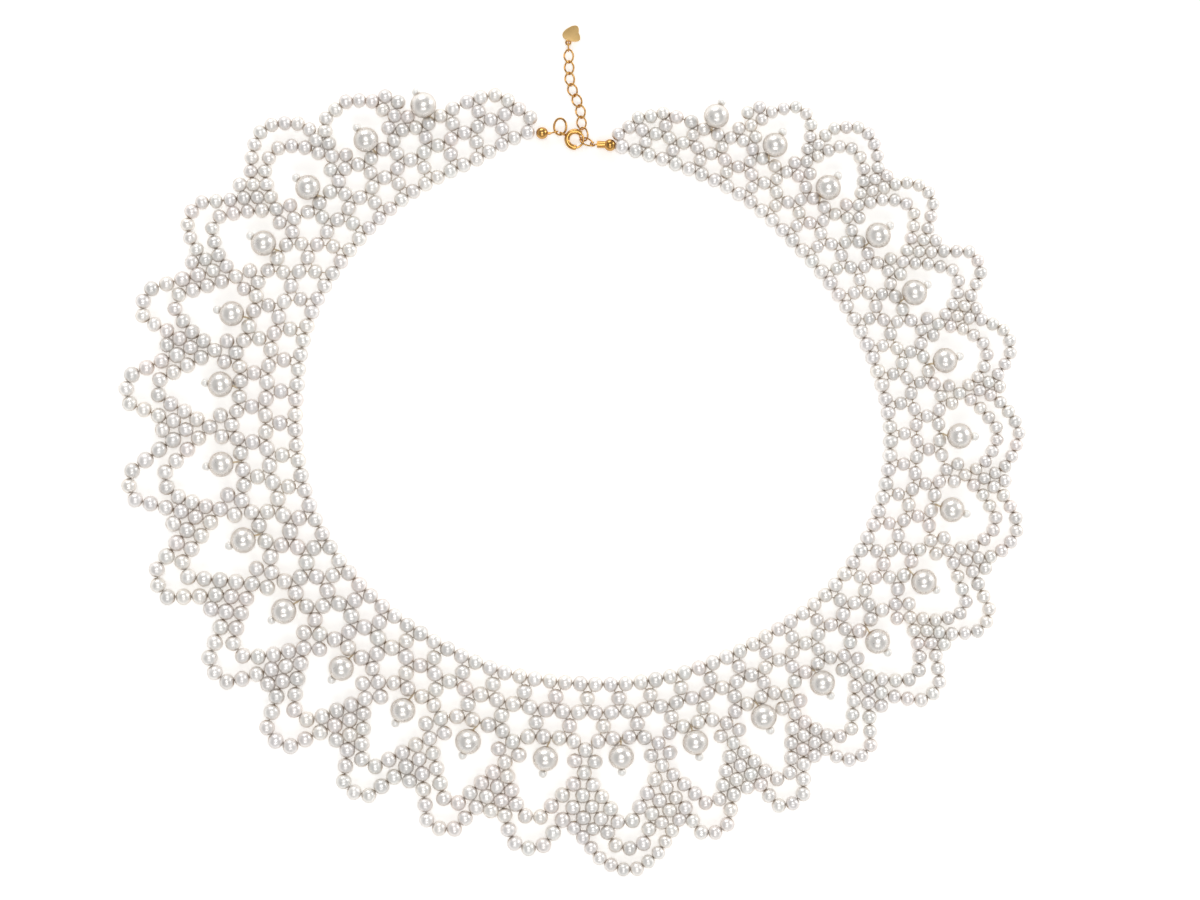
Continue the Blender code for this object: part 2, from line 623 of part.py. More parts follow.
def link_path(i):
    """A link of the extender: the first is a plain oval, the others curb links, twisted end to end."""
    centre, run = link_place(i)
    if i == 0:
        return oval(centre, run, rolled(run, -FIRST_LINK_ROLL), LINK_LONG, LINK_WIDE)
    level = rolled(run, 0)
    points = []
    for step in range(14):
        t = 2 * math.pi * step / 14
        twist = LINK_TWIST * math.cos(t)
        wide = LINK_WIDE * math.sin(t)
        points.append(centre + run * LINK_LONG * math.cos(t)
                      + level * wide * math.cos(twist) + Vector((0, 0, wide * math.sin(twist))))
    return points


def eye(start, collar, loop_centre, normal, sleeve, loop_r):
    """A pin out of an end bead, with a sleeve at its root and a loop turned at its tip."""
    toward = (collar - loop_centre).normalized()
    side = normal.normalized().cross(toward)
    path, radii = [start, collar], [sleeve, sleeve]
    path.append(collar + (loop_centre - collar).normalized() * 0.08)
    radii.append(WIRE_R)
    for i in range(10):
        a = math.radians(8 + 32 * i)
        path.append(loop_centre + toward * loop_r * math.cos(a) + side * loop_r * math.sin(a))
        radii.append(WIRE_R)
    return path, radii


def gold_bead(name, x, y):
    shape = bmesh.new()
    bmesh.ops.create_uvsphere(shape, u_segments=10, v_segments=6, radius=GOLD_R)
    bmesh.ops.translate(shape, vec=(x, y, GOLD_R), verts=shape.verts)
    return make_object(name, shape, gold_finish(), smooth=50)


def join(base, other):
    """Welds one solid into another."""
    union = base.modifiers.new("weld", "BOOLEAN")
    union.operation = "UNION"
    union.solver = "EXACT"
    union.object = other
    bpy.context.view_layer.update()
    mesh = bpy.data.meshes.new_from_object(base.evaluated_get(bpy.context.evaluated_depsgraph_get()))
    base.modifiers.clear()
    base.data = mesh
    bpy.data.objects.remove(other)
    return base


def clasp():
    """The spring ring: a closed tube ring, and the small upright eye that its jump ring passes through."""
    turns = [2 * math.pi * i / 20 for i in range(20)]
    ring = [CLASP_AT + CLASP_R * Vector((math.cos(a), math.sin(a), 0)) for a in turns]
    radii = []
    for a in turns:
        degrees = (math.degrees(a) + 180) % 360 - 180
        radii.append(CLASP_BAR if BAR_FROM <= degrees <= BAR_TO else CLASP_TUBE)
    body = make_object("spring_ring_clasp", tube(ring, radii), gold_finish(), smooth=50)
    inward = Vector((CLASP_AT.x - LUG_AT.x, CLASP_AT.y - LUG_AT.y, 0)).normalized()
    small = oval(LUG_AT, inward, Vector((0, 0, 1)), LUG_R, LUG_R, steps=10)
    lug = make_object("lug", tube(small, [LUG_WIRE] * 10), gold_finish(), smooth=50)
    return join(body, lug)


def tag_ring_place():
    """The ring between the last link and the tag: its centre and the way from one to the other."""
    last, run = link_place(len(LINKS) - 1)
    ring_at = last + run * (LINK_LONG + TAG_RING_LONG - WIRE_R - TAG_RING_WIRE - 0.15)
    return Vector((ring_at.x, ring_at.y, TAG_RING_Z)), run


def round_about(centre, radius, steps):
    return [centre + radius * Vector((math.cos(a), math.sin(a)))
            for a in (2 * math.pi * i / steps for i in range(steps))]


def plate(loops, thick, height_at):
    """A flat plate from its outline and any hole in it, its foot at the height given for each place."""
    shape = bmesh.new()
    edges = []
    for loop in loops:
        verts = [shape.verts.new((p.x, p.y, 0.0)) for p in loop]
        edges += [shape.edges.new(pair) for pair in zip(verts, verts[1:] + verts[:1])]
    bmesh.ops.triangle_fill(shape, use_beauty=True, edges=edges)
    grown = bmesh.ops.extrude_face_region(shape, geom=list(shape.faces))
    top = [g for g in grown["geom"] if isinstance(g, bmesh.types.BMVert)]
    bmesh.ops.translate(shape, vec=(0, 0, thick), verts=top)
    for v in shape.verts:
        v.co.z += height_at(v.co.xy)
    bmesh.ops.recalc_face_normals(shape, faces=shape.faces)
    return shape


def heart_tag():
    """A flat heart whose eyelet is held up by the ring and whose far edge rests on the surface."""
    ring_at, run = tag_ring_place()
    hole_at = (ring_at + run * 0.87).xy
    spin = Matrix.Rotation(TAG_TURN, 2)
    outline = []
    for i in range(24):
        t = 2 * math.pi * i / 24
        across = TAG_WIDE * math.copysign(abs(math.sin(t)) ** 1.7, math.sin(t))
        onward = TAG_LONG * math.cos(t) - 0.5 * math.cos(2 * t) - 0.12 * math.cos(3 * t)
        outline.append(hole_at + TAG_FROM_HOLE + spin @ Vector((across, onward)))
    reach = max((p - hole_at).dot(run.xy) for p in outline)

    def foot(place):
        return TAG_LIFT * (1 - (place - hole_at).dot(run.xy) / reach)

    def eyelet_foot(place):
        return foot(place) + 0.5 * (TAG_THICK - EYELET_THICK)

    heart = make_object("heart_tag", plate([outline], TAG_THICK, foot), satin_gold(), smooth=40)
    rims = [round_about(hole_at, EYELET_R, 14), round_about(hole_at, EYELET_HOLE_R, 12)]
    eyelet = make_object("eyelet", plate(rims, EYELET_THICK, eyelet_foot), satin_gold(), smooth=40)
    return join(heart, eyelet)


def findings():
    """Everything of metal at the back opening."""
    gold_bead("end_bead_left", -6.15, 64.9)
    gold_bead("end_bead_right", 7.75, 62.45)
    path, radii = eye(Vector((-4.7, 64.85, 1.05)), Vector((-4.45, 64.9, 1.0)),
                      Vector((-3.43, 65.2, 0.7)), Vector((0.0, 1.0, 0.0)), 0.3, 0.5)
    make_object("eye_pin_left", tube(path, radii, closed=False), gold_finish(), smooth=50)
    path, radii = eye(Vector((6.3, 62.55, 1.2)), Vector((5.1, 62.62, 1.15)),
                      Vector((4.21, 62.65, 1.2)), Vector((0.22, 0.59, -0.78)), 0.6, 0.45)
    make_object("eye_pin_right", tube(path, radii, closed=False), gold_finish(), smooth=50)
    tipped = Vector((math.cos(LEFT_RING_TIP), 0.0, math.sin(LEFT_RING_TIP)))
    ring = oval(LEFT_RING_AT, Vector((0, 1, 0)), tipped, LEFT_RING_LONG, LEFT_RING_WIDE, steps=16)
    make_object("jump_ring_left", tube(ring, [LUG_WIRE] * len(ring)), gold_finish(), smooth=50)
    run = heading(RIGHT_RING_TURN)
    tipped = Matrix.Rotation(-RIGHT_RING_TIP, 3, run) @ rolled(run, 0)
    ring = oval(RIGHT_RING_AT, run, tipped, RIGHT_RING_LONG, RIGHT_RING_WIDE, steps=16)
    make_object("jump_ring_right", tube(ring, [WIRE_R] * len(ring)), gold_finish(), smooth=50)
    clasp()
    for i in range(len(LINKS)):
        path = link_path(i)
        make_object(f"chain_link_{i + 1}", tube(path, [WIRE_R] * len(path)), gold_finish(), smooth=50)
    centre, run = tag_ring_place()
    ring = oval(centre, run, Vector((0, 0, 1)), TAG_RING_LONG, TAG_RING_WIDE, steps=12)
    make_object("tag_ring", tube(ring, [TAG_RING_WIRE] * len(ring)), gold_finish(), smooth=50)
    heart_tag()


def build():
    for thing in list(bpy.data.objects):
        bpy.data.objects.remove(thing)
    beads, pairs = place_pearls()
    settle(beads, pairs)
    neck_strand(beads)
    netting(beads)
    cheeks = [(("knot", n), ("cheek", n, side)) for n in range(1, LAST_UNIT) for side in (-1, 1)]
    scallop_row("inner_scallops", beads, "inner", "knot", (FIRST_LOOP, LAST_LOOP), cheeks)
    valleys = [(("cross", n), ("valley", n)) for n in range(1, LAST_UNIT)]
    scallop_row("outer_scallops", beads, "outer", "cross", (FIRST_OUTER, LAST_OUTER), valleys)
    centre_swag(beads)
    for n in range(1, LAST_UNIT + 1):
        drop_pearl(n, beads)
    findings()


build()
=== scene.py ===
"""The looks of a bead-netted pearl collar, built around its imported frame.

Every small pearl is its own drilled and slightly uneven bead, seated where the frame's strands run, with the
thread showing between them. The drops, the clasp, the extender chain and the heart tag are modelled at full
detail over their plain solids. The layout is counted as a beader counts it: so many pearls along the neck
strand, and so many millimetres out from it. Lengths in the tables are millimetres.
"""

import math
import random
from collections import namedtuple

import bmesh
import bpy
from mathutils import Matrix, Vector, noise


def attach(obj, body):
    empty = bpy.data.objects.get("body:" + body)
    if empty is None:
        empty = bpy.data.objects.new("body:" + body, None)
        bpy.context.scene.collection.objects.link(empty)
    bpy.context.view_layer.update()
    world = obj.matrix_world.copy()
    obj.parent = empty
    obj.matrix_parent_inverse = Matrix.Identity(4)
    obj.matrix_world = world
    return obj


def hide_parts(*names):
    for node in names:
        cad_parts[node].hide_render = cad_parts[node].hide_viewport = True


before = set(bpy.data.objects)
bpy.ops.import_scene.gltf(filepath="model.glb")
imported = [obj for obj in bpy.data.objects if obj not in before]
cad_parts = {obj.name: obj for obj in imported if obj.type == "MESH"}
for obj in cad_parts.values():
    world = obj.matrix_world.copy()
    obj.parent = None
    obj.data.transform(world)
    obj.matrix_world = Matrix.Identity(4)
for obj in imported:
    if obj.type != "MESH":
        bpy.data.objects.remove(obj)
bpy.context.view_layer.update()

MM = 0.001
SEED = 27

# ---- the neck strand: reach of its pearls from the middle of the neck, every 15 degrees ----
NECK_CENTRE = Vector((4.3, 7.8))
NECK_REACH = (58.7, 57.9, 59.2, 60.5, 61.8, 61.5, 61.4, 60.7, 59.0, 57.1, 56.3, 55.6,
              56.1, 56.9, 58.6, 61.4, 62.5, 61.8, 59.2, 56.5, 54.6, 54.3, 53.9, 54.8)
REACH_START, REACH_STEP = 100.0, 15.0
NECK_FROM, NECK_TO = 103.2, 443.8
NECK_PEARLS = 116
PITCH = ((1, 2.92), (5, 3.05), (9, 3.22), (14, 3.08), (18, 2.95), (23, 2.96), (27, 2.87))

# ---- one row for each repeat, from the clasp's left side round to its right ----
# bead: diameter of its small pearls; pearl: how far out the drop hangs; root, knot and cross: the three
# pearls on the middle line of the fan that follows it, and lean, how far that line runs sideways;
# inner and outer: how far out the tips of its two scallops reach, and how far they lean
Unit = namedtuple("Unit", "n bead pearl sway root knot cross lean inner inner_lean outer outer_lean")
UNITS = [Unit(*row) for row in (
    (1, 2.9, 13.2, 0.7, 10.7, 14.4, 18.4, 0.3, 0.0, 0.0, 0.0, 0.0),
    (2, 2.9, 12.9, 0.3, 11.2, 15.4, 19.4, 0.3, 21.8, 0.6, 0.0, 0.0),
    (3, 2.9, 13.6, 0.9, 12.0, 16.4, 20.5, 1.3, 23.8, 0.6, 28.3, -0.8),
    (4, 2.9, 14.0, 0.6, 11.5, 16.5, 20.9, 1.3, 24.9, 2.1, 29.9, 2.8),
    (5, 3.0, 14.4, 0.0, 12.1, 16.8, 21.4, -0.1, 26.2, 0.5, 32.6, 2.2),
    (6, 3.1, 14.6, -0.7, 12.2, 16.9, 21.4, 0.3, 27.4, 0.6, 33.7, 1.3),
    (7, 3.1, 15.0, 0.0, 12.5, 17.6, 22.3, 0.7, 27.0, 1.5, 34.3, 1.6),
    (8, 3.2, 14.8, -0.2, 12.7, 17.5, 22.1, 0.0, 28.4, 0.8, 34.3, 1.6),
    (9, 3.2, 14.9, -0.4, 12.6, 17.2, 21.9, -0.6, 27.4, 0.0, 33.6, 0.8),
    (10, 3.2, 14.7, -0.3, 12.7, 17.3, 22.1, -1.0, 27.6, -0.9, 34.5, -1.6),
    (11, 3.1, 15.0, -0.4, 13.2, 18.0, 22.5, -0.9, 28.1, -1.4, 34.4, -1.1),
    (12, 3.1, 15.3, -1.3, 13.2, 17.9, 22.7, -1.5, 28.2, -1.0, 33.9, -1.6),
    (13, 3.1, 15.5, -0.8, 13.3, 18.1, 22.5, 0.0, 27.8, -2.1, 34.0, -2.3),
    (14, 3.0, 15.0, -0.1, 12.7, 17.4, 21.9, 0.3, 28.1, 0.0, 33.2, 0.7),
    (15, 2.9, 14.4, 0.0, 12.3, 16.7, 21.1, 0.0, 26.7, 0.3, 32.7, -0.8),
    (16, 2.9, 14.2, 0.4, 12.2, 16.4, 20.7, -1.0, 26.7, -0.9, 32.2, -1.5),
    (17, 2.8, 13.9, 0.2, 11.6, 15.8, 19.9, 0.0, 24.8, -1.2, 30.2, -0.9),
    (18, 2.8, 13.5, -0.5, 11.6, 15.6, 19.6, -0.6, 23.8, 0.0, 28.9, 0.1),
    (19, 2.7, 13.5, -0.8, 11.5, 15.6, 19.5, -0.9, 23.3, -1.5, 28.6, -1.7),
    (20, 2.7, 13.3, -0.5, 11.1, 15.0, 18.9, -1.2, 22.6, -1.3, 27.0, -1.6),
    (21, 2.6, 13.1, -1.0, 10.5, 14.5, 18.4, -0.2, 20.9, -0.9, 25.2, -1.0),
    (22, 2.6, 12.8, -0.5, 10.6, 14.5, 18.3, -0.4, 21.5, -0.7, 26.6, -0.5),
    (23, 2.6, 12.4, 0.3, 10.4, 13.9, 17.7, -0.3, 21.7, -0.7, 26.9, -0.2),
    (24, 2.6, 12.7, 0.1, 10.5, 14.2, 17.9, 0.8, 21.5, 0.3, 26.2, 0.6),
    (25, 2.6, 11.8, 0.9, 9.6, 13.2, 17.1, 1.4, 21.0, 1.9, 25.3, 2.8),
    (26, 2.6, 11.5, 0.9, 9.3, 12.9, 16.8, -0.2, 20.6, 0.4, 0.0, 0.0),
    (27, 2.7, 11.4, 0.3, 9.0, 12.6, 16.4, 0.0, 0.0, 0.0, 0.0, 0.0),
)]
PER_UNIT = 4
FIRST_DROP = 6
LAST_UNIT = 27
FIRST_LOOP, LAST_LOOP = 2, 26
FIRST_OUTER, LAST_OUTER = 3, 25
SWAG_UNIT, SWAG_BEAD = 14, 2.85

# how far down the netting its rows lie, as a share of the lower row's depth, and how far above the drops
# that row lies: at the back, and more than that at the front
STEM_1, ROW_1, STEM_2 = 0.265, 0.5, 0.745
ABOVE_DROP, ABOVE_DROP_FRONT = 3.5, 0.9
# how far the neck strand draws in off the line at some repeats, and over how many pearls from its ends
NECK_SLACK = ((1, 0.9), (6, 0.7), (8, 0.05), (15, 0.1), (18, 0.5), (20, 0.8), (25, 0.7), (27, 0.4))
NECK_TAUT = 4
# how far out the rows sag, and the lower row's pearls by the fans and by the drops: out, and then apart
# along the strand
STEM_1_SAG, ROW_1_SAG, STEM_2_SAG = 0.35, 0.25, 0.5
FAN_PULL, DROP_PULL = (1.0, 0.7), (0.5, 0.15)
DROP_SAG = ((1, 0.3), (9, 0.2), (13, 0.2), (14, -0.3), (17, -0.3), (18, 0.1), (27, 0.2))
# the pearls that close each end of the netting: out from the end pearl, and along the strand from it
LEFT_EDGE = ((2.6, -1.7), (5.1, -0.4), (7.6, 1.5), (9.3, 3.2))
RIGHT_EDGE = ((1.9, -1.1), (4.2, 0.4), (6.5, 2.0), (7.6, 4.3))
# the widest pearl of the neck strand, and half the stretch of it that gives a place its direction
NECK_PEARL_MAX, DIRECTION_REACH = 3.1, 6.0

# ---- the scallops and fans ----
# half the width of a scallop's tip, in pearls, for scallops of eight and of nine, and how far out the middle
# pearl of nine stands; how far a slack side bows, and how far the outer tips draw in
TIP_OF_EIGHT, TIP_OF_NINE, TIP_OUT = 0.5, 0.93, 0.25
LOOP_BOW, TIP_DRAW = 0.15, 0.4
# how much of the fan's lean each of its pearls takes, and in pearls how far apart its cheeks stand and how
# far out its valley pearl
ROOT_LEAN, CHEEK_LEAN, KNOT_LEAN, VALLEY_LEAN = 0.4, 0.6, 0.8, 1.1
CHEEK_APART, VALLEY_OUT = 0.74, 1.5
# the pearl beside the first fan and the last: repeat, how far sideways, diameter
SIDE_PEARLS = ((1, -1.9, 2.9), (26, 1.8, 2.6))
# the centre swag: its gussets, the pearls where it ends and its tip, out and sideways from where they start
GUSSET_OUT, GUSSET_APART = 2.4, 2.0
SWAG_END_OUT, SWAG_END_IN = 4.3, 0.5
SWAG_TIP_OUT, SWAG_TIP_LEAN = 4.5, 0.6

# ---- how the pearls settle: the size of a search square and the share of each move that is made ----
SETTLE_CELL, SETTLE_PACE = 4.2, 0.6

# ---- the drops ----
DROP_R, STOP_R = 2.5, 0.82

# ---- metal findings ----
WIRE_R = 0.17
# the end balls: radius, centres, and how far along and how wide their bores start
GOLD_R = 1.25
BALL_LEFT, BALL_RIGHT = (-6.15, 64.9), (7.75, 62.45)
BORE_AT, BORE_R, BORE_RIM = 0.9, 0.3, 0.32
# the eye pins: where each leaves its ball, where its sleeve ends, the centre of its loop, the loop's normal,
# and the radii of sleeve and loop
LEFT_PIN = (Vector((-5.1, 64.85, 1.05)), Vector((-4.45, 64.9, 1.0)), Vector((-3.43, 65.2, 0.7)),
            Vector((0.0, 1.0, 0.0)), 0.3, 0.5)
RIGHT_PIN = (Vector((6.75, 62.55, 1.2)), Vector((5.1, 62.62, 1.15)), Vector((4.21, 62.65, 1.2)),
             Vector((0.22, 0.59, -0.78)), 0.75, 0.45)
# how short the sleeve's end is, and the points of a pin's loop: the first, the step in degrees, and how many
SLEEVE_END = 0.08
EYE_FROM, EYE_STEP, EYE_POINTS = 8, 8, 37
LINK_LONG, LINK_WIDE, LINK_PITCH = 1.38, 0.93, 2.34
LINK_TWIST = math.radians(45)
FIRST_LINK_AT, FIRST_LINK_ROLL = Vector((2.32, 64.74)), 22
# the extender's links: the way on from the link before, in degrees from +X, and how high its centre lies
Link = namedtuple("Link", "heading z")
LINKS = [Link(*row) for row in (
    (102, 0.67), (100, 0.66), (95, 0.60), (108, 0.55), (113, 0.55), (104, 0.57), (93, 0.68), (92, 0.84),
)]
# the spring ring: a thick tube, drawn in by how far it is over the slim one, and thin where its sprung bar
# closes the gap, from one bearing to the other; and the lug opposite
CLASP_AT, CLASP_R, CLASP_TUBE, CLASP_BAR = Vector((0.6, 63.6, 1.44)), 1.72, 0.56, 0.22
CLASP_SLIM, CLASP_STEPS, LUG_STEPS = 0.48, 96, 36
BAR_FROM, BAR_TO = -80, 40
LUG_AT, LUG_R, LUG_WIRE = Vector((-1.9, 64.75, 1.2)), 0.55, 0.24
# the jump rings: centre, half lengths along and across, and how far each is turned and tipped up
LEFT_RING_AT, LEFT_RING_LONG, LEFT_RING_WIDE = Vector((-2.45, 66.25, 0.99)), 1.68, 1.3
LEFT_RING_TIP = math.radians(16)
RIGHT_RING_AT, RIGHT_RING_LONG, RIGHT_RING_WIDE = Vector((2.93, 63.16, 1.27)), 1.38, 1.21
RIGHT_RING_TURN, RIGHT_RING_TIP = -24, math.radians(51.5)
# the wire of the left ring and of the links that don't meet the collar, and the tag's ring with its play
RING_WIRE, LINK_WIRE = 0.22, 0.185
TAG_RING_LONG, TAG_RING_WIDE, TAG_RING_WIRE, TAG_RING_Z = 1.0, 0.8, 0.14, 0.95
TAG_RING_PLAY = 0.15
# the tag: a full heart, pointing left, with a small eyelet on its lower edge, which lies on from the ring
TAG_THICK, TAG_LIFT, TAG_SOFT = 0.35, 0.58, 0.08
TAG_LONG, TAG_WIDE, TAG_TURN, TAG_STEPS = 1.8, 1.7, math.radians(-80), 120
EYELET_HOLE_R, EYELET_R, EYELET_ON, EYELET_STEPS = 0.3, 0.66, 0.87, 40
TAG_FROM_HOLE = Vector((0.96, 1.78))
# the shares of the heart's second and third turn, how deep its notch is cut and how blunt its point is
TAG_SECOND, TAG_THIRD = 0.5, 0.12
TAG_FULL, TAG_BLUNT = 1.5, 0.45


def unit_row(n):
    return UNITS[n - 1]


def between(rows, where):
    """Reads a value off rows of (place, value), straight between them and level past the ends."""
    where = min(max(where, rows[0][0]), rows[-1][0])
    for (a, va), (b, vb) in zip(rows, rows[1:]):
        if where <= b:
            return va + (vb - va) * (where - a) / (b - a)
    return rows[-1][1]


def repeat_at(index):
    """The repeat, as a fraction, that a place along the neck strand belongs to."""
    return (index - FIRST_DROP) / PER_UNIT + 1


def place_of(n):
    """The place along the neck strand that repeat n's drop hangs from."""
    return PER_UNIT * (n - 1) + FIRST_DROP


def bead_size(index):
    return between([(u.n, u.bead) for u in UNITS], repeat_at(index))


def edge_depth(index):
    """How far out the netting's lower row lies: just inside the drops, and closer to them at the back."""
    n = repeat_at(index)
    round_front = math.sin(math.pi * min(max((n - 1) / (LAST_UNIT - 1), 0), 1))
    hang = ABOVE_DROP + ABOVE_DROP_FRONT * round_front
    return between([(u.n, u.pearl) for u in UNITS], n) - hang


def neck_point(bearing):
    """A point of the neck line: a smooth curve through the reaches."""
    place = (bearing - REACH_START) / REACH_STEP
    i = math.floor(place)
    t = place - i
    a, b, c, d = (NECK_REACH[(i + k) % len(NECK_REACH)] for k in (-1, 0, 1, 2))
    reach = b + 0.5 * t * (c - a + t * (2 * a - 5 * b + 4 * c - d + t * (3 * (b - c) + d - a)))
    angle = math.radians(bearing)
    return NECK_CENTRE + reach * Vector((math.cos(angle), math.sin(angle)))


def neck_line(steps=1400):
    """The neck line with the distance run, and where each pearl of the strand sits along it."""
    points = [neck_point(NECK_FROM + (NECK_TO - NECK_FROM) * i / steps) for i in range(steps + 1)]
    run = [0.0]
    for a, b in zip(points, points[1:]):
        run.append(run[-1] + (b - a).length)
    pitches = [between(PITCH, repeat_at(i)) for i in range(1, NECK_PEARLS)]
    scale = run[-1] / sum(pitches)
    seats = [0.0]
    for pitch in pitches:
        seats.append(seats[-1] + pitch * scale)
    return points, run, seats


LINE, RUN, SEATS = neck_line()


def on_line(distance):
    distance = min(max(distance, 0.0), RUN[-1])
    lo, hi = 0, len(RUN) - 1
    while hi - lo > 1:
        mid = (lo + hi) // 2
        if RUN[mid] <= distance:
            lo = mid
        else:
            hi = mid
    return LINE[lo].lerp(LINE[hi], (distance - RUN[lo]) / (RUN[hi] - RUN[lo]))


def at(index, out=0.0, along=0.0):
    """A place counted in pearls along the strand (a pearl's own centre is a half number), millimetres out
    from the strand and millimetres sideways from there."""
    i = min(max(index - 0.5, 0.0), NECK_PEARLS - 1.0)
    k = min(int(i), NECK_PEARLS - 2)
    seat = SEATS[k] + (SEATS[k + 1] - SEATS[k]) * (i - k)
    tangent = (on_line(seat + DIRECTION_REACH) - on_line(seat - DIRECTION_REACH)).normalized()
    return on_line(seat) + Vector((tangent.y, -tangent.x)) * out + tangent * along


def loop_points(start, end, tip, lean_dir, count, bead):
    """The pearls of a scallop between two knots: two sides of three and a tip of two or three."""
    half = (TIP_OF_EIGHT if count == 8 else TIP_OF_NINE) * bead
    first, last = tip - lean_dir * half, tip + lean_dir * half
    places = []
    for a, b in ((start, first), (last, end)):
        run = b - a
        spare = max(4 * bead - run.length, 0.0)
        bow = math.sqrt(LOOP_BOW * spare * run.length)
        side = Vector((run.y, -run.x)).normalized()
        places.append([a + run * t + side * bow * math.sin(math.pi * t) for t in (0.25, 0.5, 0.75)])
    out = Vector((lean_dir.y, -lean_dir.x))
    middle = [] if count == 8 else [tip + out * TIP_OUT * bead]
    return places[0] + [first] + middle + [last] + places[1]


def place_pearls():
    """Every small pearl by name, with its diameter, and the pairs that the thread draws together."""
    beads, pairs = {}, []

    def put(name, place, size):
        beads[name] = [place.copy(), size]

    def thread(*names):
        pairs.extend(zip(names, names[1:]))

    for i in range(NECK_PEARLS):
        from_end = min(i, NECK_PEARLS - 1 - i)
        slack = between(NECK_SLACK, repeat_at(i + 0.5)) * min(from_end / NECK_TAUT, 1.0)
        size = min(between(PITCH, repeat_at(i + 0.5)), NECK_PEARL_MAX)
        put(("neck", i + 0.5), at(i + 0.5, -slack), size)
    for i in range(2, NECK_PEARLS - 1, 2):
        put(("stem1", i), at(i, STEM_1 * edge_depth(i) + STEM_1_SAG), bead_size(i))
    for i in range(1, NECK_PEARLS - 1):
        put(("row1", i + 0.5), at(i + 0.5, ROW_1 * edge_depth(i) + ROW_1_SAG), bead_size(i))
    for i in range(3, NECK_PEARLS - 2, 2):
        put(("stem2", i), at(i, STEM_2 * edge_depth(i) + STEM_2_SAG), bead_size(i))
    for i in range(2, NECK_PEARLS - 2):
        # the weight of the scallops draws the lower row out and apart at each fan
        from_drop = (i - FIRST_DROP) % PER_UNIT
        out, apart = FAN_PULL if from_drop in (1, 2) else DROP_PULL
        along = -apart if from_drop in (1, 3) else apart
        put(("row2", i + 0.5), at(i + 0.5, edge_depth(i) + out, along), bead_size(i))
    for j, (out, along) in enumerate(LEFT_EDGE):
        put(("left", j), at(0.5, out, along), bead_size(0))
    for j, (out, along) in enumerate(RIGHT_EDGE):
        put(("right", j), at(NECK_PEARLS - 0.5, out, -along), bead_size(NECK_PEARLS))
    for i in range(1, NECK_PEARLS):
        thread(("neck", i - 0.5), ("neck", i + 0.5))
    for i in range(2, NECK_PEARLS - 1):
        thread(("row1", i - 0.5), ("row1", i + 0.5))
        kind = "stem1" if i % 2 == 0 else "stem2"
        for side in (-0.5, 0.5):
            if (kind, i) in beads:
                thread((kind, i), ("row1", i + side))
                thread((kind, i), ("neck" if kind == "stem1" else "row2", i + side))
    last = NECK_PEARLS - 0.5
    for side, row_end, neck_end in (("left", 2.5, 0.5), ("right", last - 2, last)):
        thread(("row2", row_end), *[(side, j) for j in (3, 2, 1, 0)], ("neck", neck_end))
    thread(("row1", 1.5), ("left", 1))
    thread(("row1", last - 1), ("right", 1))

    for n in range(1, LAST_UNIT):
        u, i = unit_row(n), place_of(n) + 2
        size = 0.5 * (u.bead + unit_row(n + 1).bead)
        put(("root", n), at(i, u.root, ROOT_LEAN * u.lean), size)
        put(("knot", n), at(i, u.knot, KNOT_LEAN * u.lean), size)
        put(("cross", n), at(i, u.cross, u.lean), size)
        half = 0.5 * (u.root + u.knot)
        for side in (-1, 1):
            put(("cheek", n, side), at(i, half, CHEEK_LEAN * u.lean + side * CHEEK_APART * size), size)
            thread(("root", n), ("cheek", n, side), ("knot", n))
            thread(("row2", i + 0.5 * side), ("root", n))
        if FIRST_OUTER <= n < LAST_OUTER:
            put(("valley", n), at(i, u.cross + VALLEY_OUT * size, VALLEY_LEAN * u.lean), size)
    for i in range(3, NECK_PEARLS - 2):
        if ("root", (i - FIRST_DROP - 2) / PER_UNIT + 1) not in beads:
            thread(("row2", i - 0.5), ("row2", i + 0.5))

    def scallop(kind, n, ends, count, tip, lean):
        across = at(place_of(n), 0.0, 1.0) - at(place_of(n))
        bead = unit_row(n).bead
        start, end = beads[(ends, n - 1)][0], beads[(ends, n)][0]
        places = loop_points(start, end, at(place_of(n), tip, lean), across, count, bead)
        for j, place in enumerate(places):
            put((kind, n, j), place, bead)
        thread((ends, n - 1), *[(kind, n, j) for j in range(count)], (ends, n))

    for n in range(FIRST_LOOP, LAST_LOOP + 1):
        u = unit_row(n)
        scallop("inner", n, "knot", 8, u.inner, u.inner_lean)
        thread(("inner", n, 0), ("cross", n - 1))
        thread(("inner", n, 7), ("cross", n))
    for n in range(FIRST_OUTER, LAST_OUTER + 1):
        u = unit_row(n)
        scallop("outer", n, "cross", 9, u.outer - TIP_DRAW, u.outer_lean)
        for valley, j in ((n - 1, 0), (n, 8)):
            if ("valley", valley) in beads:
                thread(("outer", n, j), ("valley", valley))
    for n, along, size in SIDE_PEARLS:
        u = unit_row(n)
        put(("side", n), at(place_of(n) + 2, 0.5 * (u.knot + u.cross), along), size)
        thread(("knot", n), ("side", n), ("cross", n))

